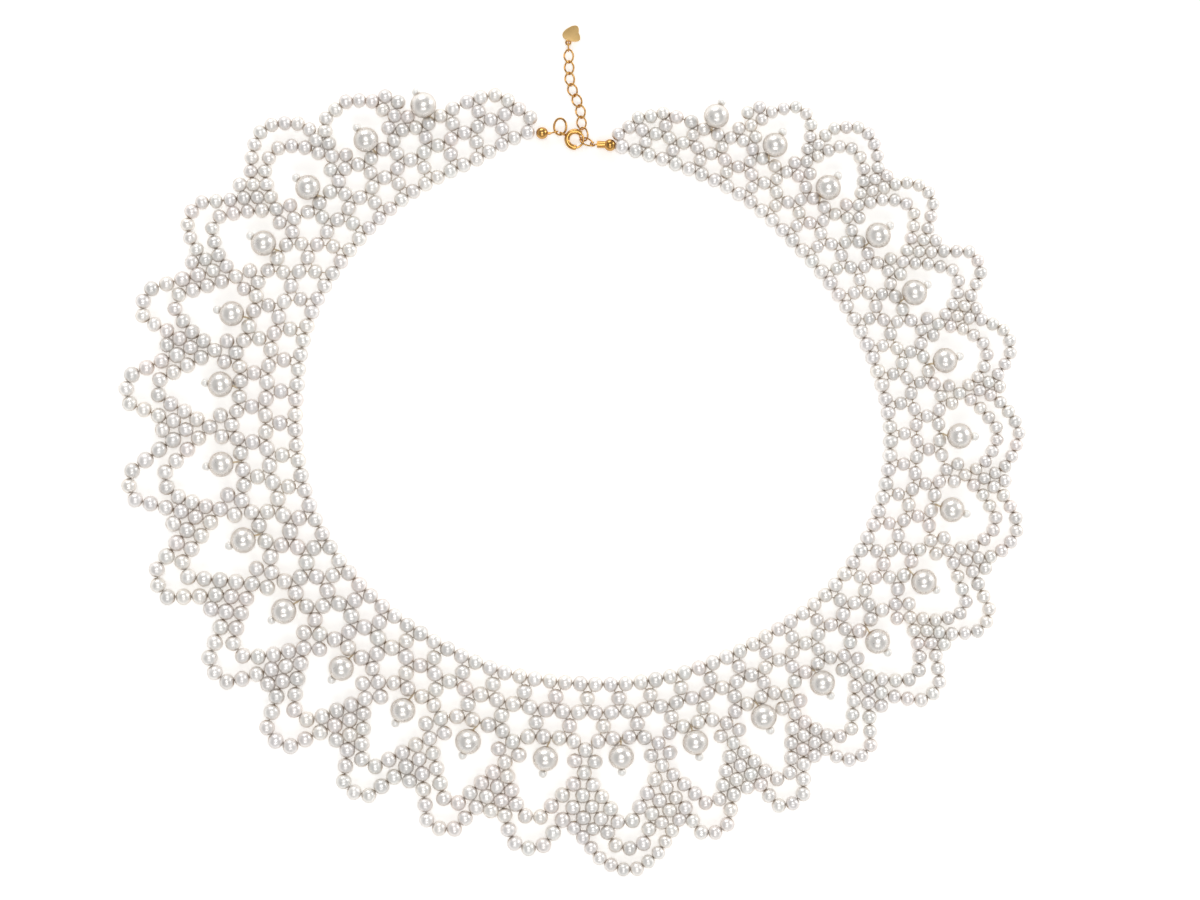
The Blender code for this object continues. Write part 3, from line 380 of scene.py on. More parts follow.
    for n in (SWAG_UNIT - 1, SWAG_UNIT):
        i, out = place_of(n) + 2, unit_row(n).cross + VALLEY_OUT * SWAG_BEAD
        along = VALLEY_LEAN * unit_row(n).lean + (SWAG_END_IN if n == SWAG_UNIT - 1 else -SWAG_END_IN)
        for side in (-1, 1):
            put(("gusset", n, side), at(i, out + GUSSET_OUT, along + side * GUSSET_APART), SWAG_BEAD)
            thread(("valley", n), ("gusset", n, side))
        put(("swag_end", n), at(i, out + SWAG_END_OUT, along), SWAG_BEAD)
        for side in (-1, 1):
            thread(("gusset", n, side), ("swag_end", n))
    across = at(place_of(SWAG_UNIT), 0.0, 1.0) - at(place_of(SWAG_UNIT))
    ends = [beads[("swag_end", n)][0] for n in (SWAG_UNIT - 1, SWAG_UNIT)]
    tip = at(place_of(SWAG_UNIT), unit_row(SWAG_UNIT).outer + SWAG_TIP_OUT, SWAG_TIP_LEAN)
    for j, place in enumerate(loop_points(ends[0], ends[1], tip, across, 8, SWAG_BEAD)):
        put(("swag", j), place, SWAG_BEAD)
    thread(("swag_end", SWAG_UNIT - 1), *[("swag", j) for j in range(8)], ("swag_end", SWAG_UNIT))
    for n in range(1, LAST_UNIT + 1):
        hang = unit_row(n).pearl + between(DROP_SAG, n)
        put(("drop", n), at(place_of(n), hang, unit_row(n).sway), 2 * DROP_R)
    return beads, pairs


def settle(beads, pairs, rounds=40, hold=0.1, draw=0.25, give=0.98):
    """Lets the pearls find their seats: none inside another, threaded neighbours drawn together, and all
    held near where they were put. The neck strand and the drops stay."""
    names = list(beads)
    home = {name: beads[name][0].copy() for name in names}
    fixed = {name for name in names if name[0] in ("neck", "drop")}
    for _ in range(rounds):
        grid = {}
        for name in names:
            place = beads[name][0]
            if name not in fixed:
                place += (home[name] - place) * hold
            square = int(place.x // SETTLE_CELL), int(place.y // SETTLE_CELL)
            grid.setdefault(square, []).append(name)
        moves = {name: Vector((0.0, 0.0)) for name in names}
        for (cx, cy), here in grid.items():
            near = [m for dx in (-1, 0, 1) for dy in (-1, 0, 1) for m in grid.get((cx + dx, cy + dy), ())]
            for a in here:
                for b in near:
                    if a >= b:
                        continue
                    gap = beads[b][0] - beads[a][0]
                    short = 0.5 * (beads[a][1] + beads[b][1]) * give - gap.length
                    if short > 0:
                        push = gap.normalized() * short * 0.5
                        moves[a] -= push
                        moves[b] += push
        for a, b in pairs:
            gap = beads[b][0] - beads[a][0]
            far = gap.length - 0.5 * (beads[a][1] + beads[b][1])
            if far > 0:
                moves[a] += gap.normalized() * far * draw
                moves[b] -= gap.normalized() * far * draw
        for name in names:
            if name not in fixed:
                beads[name][0] += moves[name] * SETTLE_PACE
    return beads


# ---------------------------------------------------------------- materials

# sizes of noise are in turns per metre, and each list of stops gives a place on a ramp and its colour
# pearl lacquer: the clouds in its tint, the rub in its gloss, the skin of its surface, and its clear coat
CLOUD_SCALE, CLOUD_SHARE = 420.0, 0.35
CLOUD_STOPS = [(0.35, (0.90, 0.88, 0.86)), (0.65, (1.0, 1.0, 1.0))]
RUB_SCALE, RUB_LOW, RUB_HIGH = 900.0, 0.8, 1.25
SKIN_SCALE, SKIN_DETAIL, SKIN_RELIEF, SKIN_DEPTH = 1500.0, 1.0, 0.06, 0.0001
COAT_IOR = 1.36
SMALL_TINTS = [(0.0, (0.97, 0.915, 0.90)), (0.2, (0.84, 0.83, 0.815)), (0.4, (0.99, 0.97, 0.95)),
               (0.6, (0.90, 0.875, 0.875)), (0.8, (0.98, 0.95, 0.91)), (1.0, (0.91, 0.91, 0.89))]
DROP_TINTS = [(0.0, (0.92, 0.90, 0.88)), (1.0, (0.90, 0.875, 0.845))]
STOP_TINTS = [(0.0, (1.0, 0.98, 0.95)), (1.0, (1.0, 1.0, 0.98))]
# brown round each bead's holes: partly lacquer worn at the hole, partly painted shade in the contact lines
# between neighbouring beads
HOLE_WEAR_AND_SHADE_BROWN = (0.40, 0.27, 0.14)
RIM_TINT, COAT_TINT = (0.46, 0.36, 0.26), (0.99, 0.98, 0.965)
# plated metal: the slow change of its tone, the marks in its surface, and the gloss of its coat
TONE_SCALE = 500.0
MARK_DETAIL, MARK_DEPTH, WORN_LOW, WORN_HIGH = 4.0, 0.00004, 0.7, 1.4
LACQUER_ROUGH = 0.12
# nylon thread, and the surface that the collar lies on, which glows as a lit table does
NYLON_SCALE, NYLON_ROUGH = 2500.0, 0.45
NYLON_STOPS = [(0.3, (0.62, 0.49, 0.31)), (0.7, (0.78, 0.66, 0.48))]
FLOOR_SCALE, FLOOR_ROUGH, FLOOR_GLOSS = 6.0, 0.85, 0.15
FLOOR_STOPS = [(0.3, (0.93, 0.93, 0.925)), (0.7, (0.945, 0.945, 0.94))]
FLOOR_GLOW, GLOW_TINT = 0.33, (1.0, 0.975, 0.94)


def shader_of(name):
    """A new node material and its Principled shader."""
    made = bpy.data.materials.new(name)
    made.use_nodes = True
    return made, made.node_tree, made.node_tree.nodes["Principled BSDF"]


def add(tree, kind, **values):
    node = tree.nodes.new(kind)
    for key, value in values.items():
        setattr(node, key, value)
    return node


def join(tree, source, output, node, entry):
    tree.links.new(source.outputs[output], node.inputs[entry])


def dial(node, settings):
    """Sets a node's plain inputs by their names."""
    for name, value in settings.items():
        node.inputs[name].default_value = value


def object_noise(tree, scale, detail=2.0):
    """Noise over the part's own coordinates."""
    where = add(tree, "ShaderNodeTexCoord")
    grain = add(tree, "ShaderNodeTexNoise")
    dial(grain, {"Scale": scale, "Detail": detail})
    join(tree, where, "Object", grain, "Vector")
    return grain


def ramp(tree, source, stops, output="Fac"):
    """A colour ramp with (place, colour) stops, fed by a node's value."""
    made = add(tree, "ShaderNodeValToRGB")
    elements = made.color_ramp.elements
    while len(elements) < len(stops):
        elements.new(0.5)
    for element, (place, colour) in zip(elements, stops):
        element.position = place
        element.color = (*colour, 1.0)
    join(tree, source, output, made, "Fac")
    return made


def greys(low, high):
    """The stops that turn a noise into a grey between two."""
    return [(0.3, (low,) * 3), (0.7, (high,) * 3)]


def bump(tree, shader, source, strength, distance):
    made = add(tree, "ShaderNodeBump")
    dial(made, {"Strength": strength, "Distance": distance})
    join(tree, source, "Fac", made, "Height")
    join(tree, made, "Normal", shader, "Normal")


def pearl_lustre(name, tints, metallic, rough, coat, coat_rough):
    """Pearl lacquer over glass: each bead is tinted a little differently, and the tint clouds across it."""
    made, tree, shader = shader_of(name)
    island = add(tree, "ShaderNodeNewGeometry")
    tint = ramp(tree, island, tints, "Random Per Island")
    clouded = add(tree, "ShaderNodeMix", data_type="RGBA", blend_type="MULTIPLY")
    dial(clouded, {"Factor": CLOUD_SHARE})
    wash = ramp(tree, object_noise(tree, CLOUD_SCALE), CLOUD_STOPS)
    join(tree, tint, "Color", clouded, "A")
    join(tree, wash, "Color", clouded, "B")
    # the brown at the holes: partly worn lacquer, partly painted shade where the beads meet
    hole_wear_and_shade = add(tree, "ShaderNodeAttribute", attribute_name="hole_wear_and_shade")
    worn = add(tree, "ShaderNodeMix", data_type="RGBA")
    dial(worn, {"B": (*HOLE_WEAR_AND_SHADE_BROWN, 1.0)})
    join(tree, hole_wear_and_shade, "Fac", worn, "Factor")
    join(tree, clouded, "Result", worn, "A")
    join(tree, worn, "Result", shader, "Base Color")
    rub = ramp(tree, object_noise(tree, RUB_SCALE), greys(rough * RUB_LOW, rough * RUB_HIGH))
    join(tree, rub, "Color", shader, "Roughness")
    bump(tree, shader, object_noise(tree, SKIN_SCALE, SKIN_DETAIL), SKIN_RELIEF, SKIN_DEPTH)
    dial(shader, {"Metallic": metallic, "Specular Tint": (*RIM_TINT, 1.0), "Coat Weight": coat,
                  "Coat Roughness": coat_rough, "Coat IOR": COAT_IOR, "Coat Tint": (*COAT_TINT, 1.0)})
    return made


def gold_metal(name, dark, light, rough, grain, grain_stretch, relief, coat):
    """Plated metal: polished or brushed, with a slow change of tone and fine marks in its roughness."""
    made, tree, shader = shader_of(name)
    slow = ramp(tree, object_noise(tree, TONE_SCALE), [(0.35, dark), (0.65, light)])
    join(tree, slow, "Color", shader, "Base Color")
    where = add(tree, "ShaderNodeTexCoord")
    stretch = add(tree, "ShaderNodeMapping")
    dial(stretch, {"Scale": grain_stretch})
    marks = add(tree, "ShaderNodeTexNoise")
    dial(marks, {"Scale": grain, "Detail": MARK_DETAIL})
    join(tree, where, "Object", stretch, "Vector")
    join(tree, stretch, "Vector", marks, "Vector")
    worn = ramp(tree, marks, greys(rough * WORN_LOW, rough * WORN_HIGH))
    join(tree, worn, "Color", shader, "Roughness")
    bump(tree, shader, marks, relief, MARK_DEPTH)
    dial(shader, {"Metallic": 1.0, "Coat Weight": coat, "Coat Roughness": LACQUER_ROUGH})
    return made


def nylon_thread():
    made, tree, shader = shader_of("beading_thread")
    tone = ramp(tree, object_noise(tree, NYLON_SCALE), NYLON_STOPS)
    join(tree, tone, "Color", shader, "Base Color")
    dial(shader, {"Roughness": NYLON_ROUGH})
    return made


def floor_white():
    made, tree, shader = shader_of("white_table")
    tone = ramp(tree, object_noise(tree, FLOOR_SCALE), FLOOR_STOPS)
    join(tree, tone, "Color", shader, "Base Color")
    dial(shader, {"Roughness": FLOOR_ROUGH, "Specular IOR Level": FLOOR_GLOSS,
                  "Emission Color": (*GLOW_TINT, 1.0), "Emission Strength": FLOOR_GLOW})
    return made


PEARL = pearl_lustre("small_pearl", SMALL_TINTS, metallic=0.6, rough=0.36, coat=0.42, coat_rough=0.25)
DROP = pearl_lustre("large_pearl", DROP_TINTS, metallic=0.68, rough=0.3, coat=0.45, coat_rough=0.21)
STOP = pearl_lustre("stop_pearl", STOP_TINTS, metallic=0.3, rough=0.35, coat=0.4, coat_rough=0.2)
GOLD = gold_metal("bright_gold", dark=(0.50, 0.25, 0.055), light=(0.68, 0.39, 0.115), rough=0.16,
                  grain=900.0, grain_stretch=(1.0, 1.0, 1.0), relief=0.15, coat=0.35)
SATIN = gold_metal("brushed_gold", dark=(0.66, 0.44, 0.18), light=(0.72, 0.49, 0.215), rough=0.38,
                   grain=2600.0, grain_stretch=(1.0, 9.0, 1.0), relief=0.05, coat=0.0)
THREAD = nylon_thread()


# ---------------------------------------------------------------- beads and thread


def left_of(direction):
    return Vector((-direction.y, direction.x))


def placed(name, data):
    """A new object in the scene."""
    thing = bpy.data.objects.new(name, data)
    bpy.context.scene.collection.objects.link(thing)
    return thing


def turns(steps):
    """The angles of so many even steps round a circle."""
    return [2 * math.pi * i / steps for i in range(steps)]


def bridged(shape, loops):
    """Faces between each loop of corners and the next."""
    sides = len(loops[0])
    return [shape.faces.new((a[s], a[(s + 1) % sides], b[(s + 1) % sides], b[s]))
            for a, b in zip(loops, loops[1:]) for s in range(sides)]


def capped(shape, loops):
    """A face over the first loop of corners and one over the last."""
    return [shape.faces.new(list(reversed(loops[0]))), shape.faces.new(loops[-1])]


def new_piece(name, shape, finishes, body, nodes, smooth=40):
    """Turns a bmesh in millimetres into a piece that rides on a body and stands for CAD nodes."""
    bmesh.ops.scale(shape, vec=(MM, MM, MM), verts=shape.verts)
    mesh = bpy.data.meshes.new(name)
    shape.to_mesh(mesh)
    shape.free()
    for finish in finishes:
        mesh.materials.append(finish)
    mesh.shade_smooth()
    mesh.set_sharp_from_angle(angle=math.radians(smooth))
    piece = placed(name, mesh)
    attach(piece, body)
    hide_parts(*nodes)


# a bead's hole: its radius at most and as a share of the bead's, how deep it is, how it narrows, and how far
# round it the brown reaches, which is partly lacquer worn at the hole and partly painted shade where the
# bead meets its neighbours
HOLE_R, HOLE_SHARE, HOLE_DEEP, HOLE_WAIST = 0.24, 0.19, 0.3, 0.85
WEAR_AND_SHADE_REACH = 0.38
# how a bead varies: its size, its length, how far its thread tips and turns, and where its lumps are cast
GROWN, SHORTENED = (1.02, 1.07), (0.98, 1.0)
TIPPED, TURNED, CAST = (-0.12, 0.12), (-0.08, 0.08), (-50, 50)
# how many lumps go round it, how far they can reach past its radius, and how high it may be lifted
LUMP_SCALE, LUMP_REACH, LIFTED = 0.9, 0.7, 0.06


def bead(shape, centre, size, way, chance, sides=20, rings=11, length=1.0, lumps=0.035, index=0):
    """A drilled round bead turned about its thread, length times as long as wide, closed at the bottom of
    each hole. It lies on the surface, or higher where its centre is given higher."""
    radius = 0.5 * size * chance.uniform(*GROWN)
    flat = length * chance.uniform(*SHORTENED)
    rest = radius * (1 + LUMP_REACH * lumps)
    centre = Vector((centre.x, centre.y, max(centre.z, rest) + chance.uniform(0.0, LIFTED)))
    axis = (Vector((way.x, way.y, chance.uniform(*TIPPED))) +
            Vector((chance.uniform(*TURNED), chance.uniform(*TURNED), 0.0))).normalized()
    side = axis.cross(Vector((0.0, 0.0, 1.0))).normalized()
    up = side.cross(axis)
    cast = Vector((chance.uniform(*CAST), chance.uniform(*CAST), chance.uniform(*CAST)))
    hole = min(HOLE_R, HOLE_SHARE * radius)
    first = math.asin(hole / radius)
    waist = hole * HOLE_WAIST
    profile = [(-radius * math.cos(first) + HOLE_DEEP, waist)]
    for i in range(rings):
        turn = first + (math.pi - 2 * first) * i / (rings - 1)
        profile.append((-radius * math.cos(turn), radius * math.sin(turn)))
    profile.append((radius * math.cos(first) - HOLE_DEEP, waist))
    hole_wear_and_shade = shape.verts.layers.float.get("hole_wear_and_shade") or shape.verts.layers.float.new("hole_wear_and_shade")
    loops = []
    for along, out in profile:
        loop = []
        # brown near the hole, fading outward: partly worn lacquer, partly painted shade where neighbouring
        # beads touch
        wear_and_shade = max(0.0, 1.0 - (out - waist) / (radius * WEAR_AND_SHADE_REACH))
        for angle in turns(sides):
            spoke = side * math.cos(angle) + up * math.sin(angle)
            place = axis * along * flat + spoke * out
            swell = 1 + lumps * noise.noise(place * (LUMP_SCALE / radius) + cast)
            corner = shape.verts.new(centre + place * swell)
            corner[hole_wear_and_shade] = wear_and_shade
            loop.append(corner)
        loops.append(loop)
    for face in bridged(shape, loops) + capped(shape, loops):
        face.material_index = index


# the thread's radius, and the places of the finishes after the first in a piece's list
THREAD_R = 0.1
THREAD_FINISH, STOP_FINISH, EYELET_FINISH = 1, 2, 1


def filament(shape, path, sides=6):
    """The thread through points, with closed ends."""
    loops = []
    for i, here in enumerate(path):
        run = (path[min(i + 1, len(path) - 1)] - path[max(i - 1, 0)]).normalized()
        first = run.orthogonal().normalized()
        second = run.cross(first)
        loops.append([shape.verts.new(here + (first * math.cos(a) + second * math.sin(a)) * THREAD_R)
                      for a in turns(sides)])
    for face in capped(shape, loops) + bridged(shape, loops):
        face.material_index = THREAD_FINISH


# the kinds of pearl that stand on a strand, with their holes outward
RADIAL = {"stem1", "stem2", "cheek", "side", "gusset", "valley"}
# the widest gap between two pearls that the thread still crosses
THREAD_SPAN = 1.5
# how much of its place along the strand a pearl fills, and how short and how long it can be for that
PEARL_FILL, PEARL_SHORT, PEARL_LONG = 1.045, 0.94, 1.07


def thread_way(name, beads, near):
    """The way the thread runs through a pearl: along its own strand, or outward where it is a stem."""
    out = (beads[name][0] - NECK_CENTRE).normalized()
    if name[0] in RADIAL:
        return out
    same = [n for n in near.get(name, ()) if n[0] == name[0]]
    if len(same) == 2:
        return (beads[same[1]][0] - beads[same[0]][0]).normalized()
    if len(same) == 1:
        return (beads[same[0]][0] - beads[name][0]).normalized()
    return left_of(out)


# the joined pieces of small pearls: name, kinds of pearl, and the CAD node each stands for
PIECES = (
    ("neck_strand_pearls", ("neck",), "neck_strand"),
    ("netting_upper_row", ("stem1", "row1"), "netting"),
    ("netting_lower_row", ("stem2", "row2", "left", "right", "root"), "netting"),
    ("inner_scallop_pearls", ("cheek", "knot", "inner", "side"), "inner_scallops"),
    ("outer_scallop_pearls", ("cross", "outer", "valley"), "outer_scallops"),
    ("centre_swag_pearls", ("gusset", "swag", "swag_end"), "centre_swag"),
)


def pearl_work(beads, pairs):
    """The small pearls, one joined piece for each stretch of beadwork, with the thread between them."""
    near = {}
    for a, b in pairs:
        near.setdefault(a, []).append(b)
        near.setdefault(b, []).append(a)
    for name, kinds, node in PIECES:
        chance = random.Random(f"{SEED}{name}")
        shape = bmesh.new()
        for key in beads:
            if key[0] not in kinds:
                continue
            place, size = beads[key]
            way = thread_way(key, beads, near)
            strand = [(beads[n][0] - place).length for n in near.get(key, ()) if n[0] == key[0]]
            seat = sum(strand) / len(strand) if strand else size
            length = min(max(seat / (size * PEARL_FILL), PEARL_SHORT), PEARL_LONG)
            bead(shape, Vector((place.x, place.y, 0.5 * size)), size, way, chance, length=length)
            for other in near.get(key, ()):
                if str(other) < str(key) and other[0] in kinds:
                    continue
                far, far_size = beads[other]
                a, b = Vector((*place, 0.5 * size)), Vector((*far, 0.5 * far_size))
                if (b - a).length < 0.5 * (size + far_size) + THREAD_SPAN:
                    filament(shape, [a, b])
        new_piece(name, shape, (PEARL, THREAD), "collar", (node,))


# a drop's knot: its radius, turns and steps, where it starts and ends on the way down from the gap between
# the two pearls above, and how far towards each of those pearls the thread comes out
KNOT_R, KNOT_TURNS, KNOT_STEPS = 0.11, 2.2, 32
KNOT_FROM, KNOT_TO, GAP_HOLE = 0.4, 0.65, 0.12
# how far beyond a drop its stop pearl lies, and how far below its middle
STOP_WAY, STOP_DROP = 0.62, 0.5
DROP_LENGTH, DROP_LUMPS, DROP_SIDES, DROP_RINGS = 0.98, 0.012, 40, 25
STOP_LUMPS = 0.03


def knotted(shape, foot, head):
    """A small knot: the thread wound round itself between two points."""
    run = (head - foot).normalized()
    first = run.orthogonal().normalized()
    second = run.cross(first)
    path = []
    for i in range(KNOT_STEPS + 1):
        t = i / KNOT_STEPS
        turn = 2 * math.pi * KNOT_TURNS * t
        path.append(foot.lerp(head, t) + (first * math.cos(turn) + second * math.sin(turn)) * KNOT_R)
    filament(shape, path)


def drops(beads):
    """The hanging pearls: a large drilled pearl, the thread that comes to it from the two pearls above and
    is knotted there, and the stop pearl that holds its other end."""
    for n in range(1, LAST_UNIT + 1):
        chance = random.Random(SEED * 100 + n)
        place = beads[("drop", n)][0]
        out = (place - at(place_of(n))).normalized()
        down, across = Vector((*out, 0.0)), Vector((*left_of(out), 0.0))
        shape = bmesh.new()
        centre = Vector((place.x, place.y, DROP_R))
        bead(shape, centre, 2 * DROP_R, out, chance, DROP_SIDES, DROP_RINGS, DROP_LENGTH, DROP_LUMPS)
        low = centre + down * (DROP_R + STOP_WAY) - Vector((0.0, 0.0, STOP_DROP))
        bead(shape, low, 2 * STOP_R, out, chance, lumps=STOP_LUMPS, index=STOP_FINISH)
        above = [Vector((*beads[("row2", place_of(n) + side)][0], 0.5 * unit_row(n).bead))
                 for side in (-0.5, 0.5)]
        gap, top = 0.5 * (above[0] + above[1]), centre - down * DROP_R
        knotted(shape, gap.lerp(top, KNOT_FROM), gap.lerp(top, KNOT_TO))
        for pearl, side in zip(above, (1, -1)):
            hole = gap.lerp(pearl, GAP_HOLE)
            beside = across * side * THREAD_R
            path = [pearl, hole, gap.lerp(top, KNOT_FROM) + beside, top + beside, centre]
            filament(shape, path)
        filament(shape, [centre, low, low + down * (STOP_R - HOLE_DEEP * 0.5)])
        new_piece(f"drop_{n:02d}", shape, (DROP, THREAD, STOP), "collar",
                  (f"drop_pearl_{n:02d}",))


# ---------------------------------------------------------------- metal findings


def wire(path, radii, sides=14, closed=True):
    """A round wire along a path; an open one has flat ends."""
    shape = bmesh.new()
    count = len(path)
    middle = sum(path, Vector()) / count
    rings = []
    for i, here in enumerate(path):
        ahead = path[(i + 1) % count] if closed or i < count - 1 else here
        behind = path[i - 1] if closed or i > 0 else here
        run = (ahead - behind).normalized()
        reach = here - middle if closed else Vector((0.0, 0.0, 1.0))
        first = (reach - run * reach.dot(run)).normalized()
        second = run.cross(first)
        rings.append([shape.verts.new(here + (first * math.cos(a) + second * math.sin(a)) * radii[i])
                      for a in (2 * math.pi * (s + 0.5) / sides for s in range(sides))])
    bridged(shape, rings + rings[:1] if closed else rings)
    if not closed:
        capped(shape, rings)
    bmesh.ops.recalc_face_normals(shape, faces=shape.faces)
    return shape


def oval(centre, long_dir, wide_dir, long, wide, steps=48):
    """Points round an oval whose two half axes are given."""
    return [centre + long_dir * long * math.cos(a) + wide_dir * wide * math.sin(a) for a in turns(steps)]


def rolled(direction, degrees):
    """A direction across a level one, rolled about it from level."""
    level = Vector((direction.y, -direction.x, 0.0)).normalized()
    return Matrix.Rotation(math.radians(degrees), 3, direction) @ level


def heading(degrees):
    return Vector((math.cos(math.radians(degrees)), math.sin(math.radians(degrees)), 0.0))


def link_place(i):
    """Where a link's centre lies, and the way its length runs: half-way between its neighbours' ways."""
    at_link = Vector((*FIRST_LINK_AT, LINKS[i].z))
    for link in LINKS[1:i + 1]:
        at_link += heading(link.heading) * LINK_PITCH
    onward = LINKS[min(i + 1, len(LINKS) - 1)].heading
    return at_link, heading(0.5 * (LINKS[i].heading + onward))


def link_path(i, steps=48):
    """A link of the extender: the first is a plain oval, the others curb links, twisted end to end."""
    centre, run = link_place(i)
    if i == 0:
        return oval(centre, run, rolled(run, -FIRST_LINK_ROLL), LINK_LONG, LINK_WIDE, steps)
    level = rolled(run, 0)
    points = []
    for t in turns(steps):
        twist = LINK_TWIST * math.cos(t)
        wide = LINK_WIDE * math.sin(t)
        points.append(centre + run * LINK_LONG * math.cos(t)
                      + level * wide * math.cos(twist) + Vector((0, 0, wide * math.sin(twist))))
    return points


def eye(start, collar, loop_centre, normal, sleeve, loop_r):
    """A pin out of an end bead, with a sleeve at its root and a loop turned at its tip."""
    toward = (collar - loop_centre).normalized()
    side = normal.normalized().cross(toward)
    path, radii = [start, collar], [sleeve, sleeve]
    path.append(collar + (loop_centre - collar).normalized() * SLEEVE_END)
    radii.append(WIRE_R)
    for i in range(EYE_POINTS):
        a = math.radians(EYE_FROM + EYE_STEP * i)
        path.append(loop_centre + toward * loop_r * math.cos(a) + side * loop_r * math.sin(a))
        radii.append(WIRE_R)
    return path, radii


def gold_piece(name, shape, node, body="collar"):
    new_piece(name, shape, (GOLD,), body, (node,))


def gold_bead(name, centre, node, sides=32, rings=21):
    """A metal ball on the surface, with the bore for its thread end along X."""
    shape = bmesh.new()
    profile = [(-GOLD_R * BORE_AT, BORE_R)]
    for i in range(rings):
        turn = BORE_RIM + (math.pi - 2 * BORE_RIM) * i / (rings - 1)
        profile.append((-GOLD_R * math.cos(turn), GOLD_R * math.sin(turn)))
    profile.append((GOLD_R * BORE_AT, BORE_R))
    loops = []
    for along, out in profile:
        loops.append([shape.verts.new((centre[0] + along, centre[1] + out * math.cos(a),
                                       GOLD_R + out * math.sin(a))) for a in turns(sides)])
    bridged(shape, loops)
    capped(shape, loops)
    bmesh.ops.recalc_face_normals(shape, faces=shape.faces)
    gold_piece(name, shape, node)


def merge_into(shape, other):
    """Copies a bmesh into another."""
    spare = bpy.data.meshes.new("spare")
    other.to_mesh(spare)
    other.free()
    shape.from_mesh(spare)
    bpy.data.meshes.remove(spare)


def clasp():
    """The spring ring, fastened, and its lug."""
    ring, radii = [], []
    for a in turns(CLASP_STEPS):
        degrees = (math.degrees(a) + 180) % 360 - 180
        thin = BAR_FROM <= degrees <= BAR_TO
        reach = CLASP_R if thin else CLASP_R - (CLASP_TUBE - CLASP_SLIM)
        ring.append(CLASP_AT + reach * Vector((math.cos(a), math.sin(a), 0)))
        radii.append(CLASP_BAR if thin else CLASP_TUBE)
    shape = wire(ring, radii, sides=20)
    inward = Vector((CLASP_AT.x - LUG_AT.x, CLASP_AT.y - LUG_AT.y, 0)).normalized()
    lug = oval(LUG_AT, inward, Vector((0, 0, 1)), LUG_R, LUG_R, LUG_STEPS)
    merge_into(shape, wire(lug, [LUG_WIRE] * LUG_STEPS))
    gold_piece("spring_ring", shape, "spring_ring_clasp")


def tag_ring_place():
    """The ring between the last link and the tag: its centre and the way from one to the other."""
    last, run = link_place(len(LINKS) - 1)
    ring_at = last + run * (LINK_LONG + TAG_RING_LONG - WIRE_R - TAG_RING_WIRE - TAG_RING_PLAY)
    return Vector((ring_at.x, ring_at.y, TAG_RING_Z)), run


# the least angle between two faces, in radians, that makes their edge a rim
RIM_ANGLE = 1.2


def plate(outline, thick, height_at, soften):
    """A flat plate from its outline, with softened edges, its foot at the height given for each place."""
    shape = bmesh.new()
    verts = [shape.verts.new((p.x, p.y, 0.0)) for p in outline]
    edges = [shape.edges.new(pair) for pair in zip(verts, verts[1:] + verts[:1])]
    bmesh.ops.triangle_fill(shape, use_beauty=True, edges=edges)
    grown = bmesh.ops.extrude_face_region(shape, geom=list(shape.faces))
    top = [g for g in grown["geom"] if isinstance(g, bmesh.types.BMVert)]
    bmesh.ops.translate(shape, vec=(0, 0, thick), verts=top)
    bmesh.ops.recalc_face_normals(shape, faces=shape.faces)
    rim = [e for e in shape.edges if len(e.link_faces) == 2 and e.calc_face_angle() > RIM_ANGLE]
    bmesh.ops.bevel(shape, geom=rim, offset=soften, segments=3, affect="EDGES", profile=0.6)
    for v in shape.verts:
        v.co.z += height_at(v.co.xy)
    return shape


def heart_tag():
    """A flat heart whose eyelet is held up by the ring and whose far edge rests on the surface."""
    ring_at, run = tag_ring_place()
    hole_at = (ring_at + run * EYELET_ON).xy
    spin = Matrix.Rotation(TAG_TURN, 2)
    outline = []
    for t in turns(TAG_STEPS):
        fullness = TAG_FULL + TAG_BLUNT * math.cos(t)
        across = TAG_WIDE * math.copysign(abs(math.sin(t)) ** fullness, math.sin(t))
        onward = TAG_LONG * math.cos(t) - TAG_SECOND * math.cos(2 * t) - TAG_THIRD * math.cos(3 * t)
        outline.append(hole_at + TAG_FROM_HOLE + spin @ Vector((across, onward)))
    reach = max((p - hole_at).dot(run.xy) for p in outline)

    def foot(place):
        return TAG_LIFT * (1 - (place - hole_at).dot(run.xy) / reach)

    shape = plate(outline, TAG_THICK, foot, TAG_SOFT)
    wire_r = 0.5 * (EYELET_R - EYELET_HOLE_R)
    rim = []
    for a in turns(EYELET_STEPS):
        p = hole_at + (EYELET_HOLE_R + wire_r) * Vector((math.cos(a), math.sin(a)))
        rim.append(Vector((p.x, p.y, foot(p) + 0.5 * TAG_THICK)))
    eyelet = wire(rim, [wire_r] * len(rim))
    for face in eyelet.faces:
        face.material_index = EYELET_FINISH
    merge_into(shape, eyelet)
    new_piece("brushed_heart", shape, (SATIN, GOLD), "tag", ("heart_tag",), smooth=30)


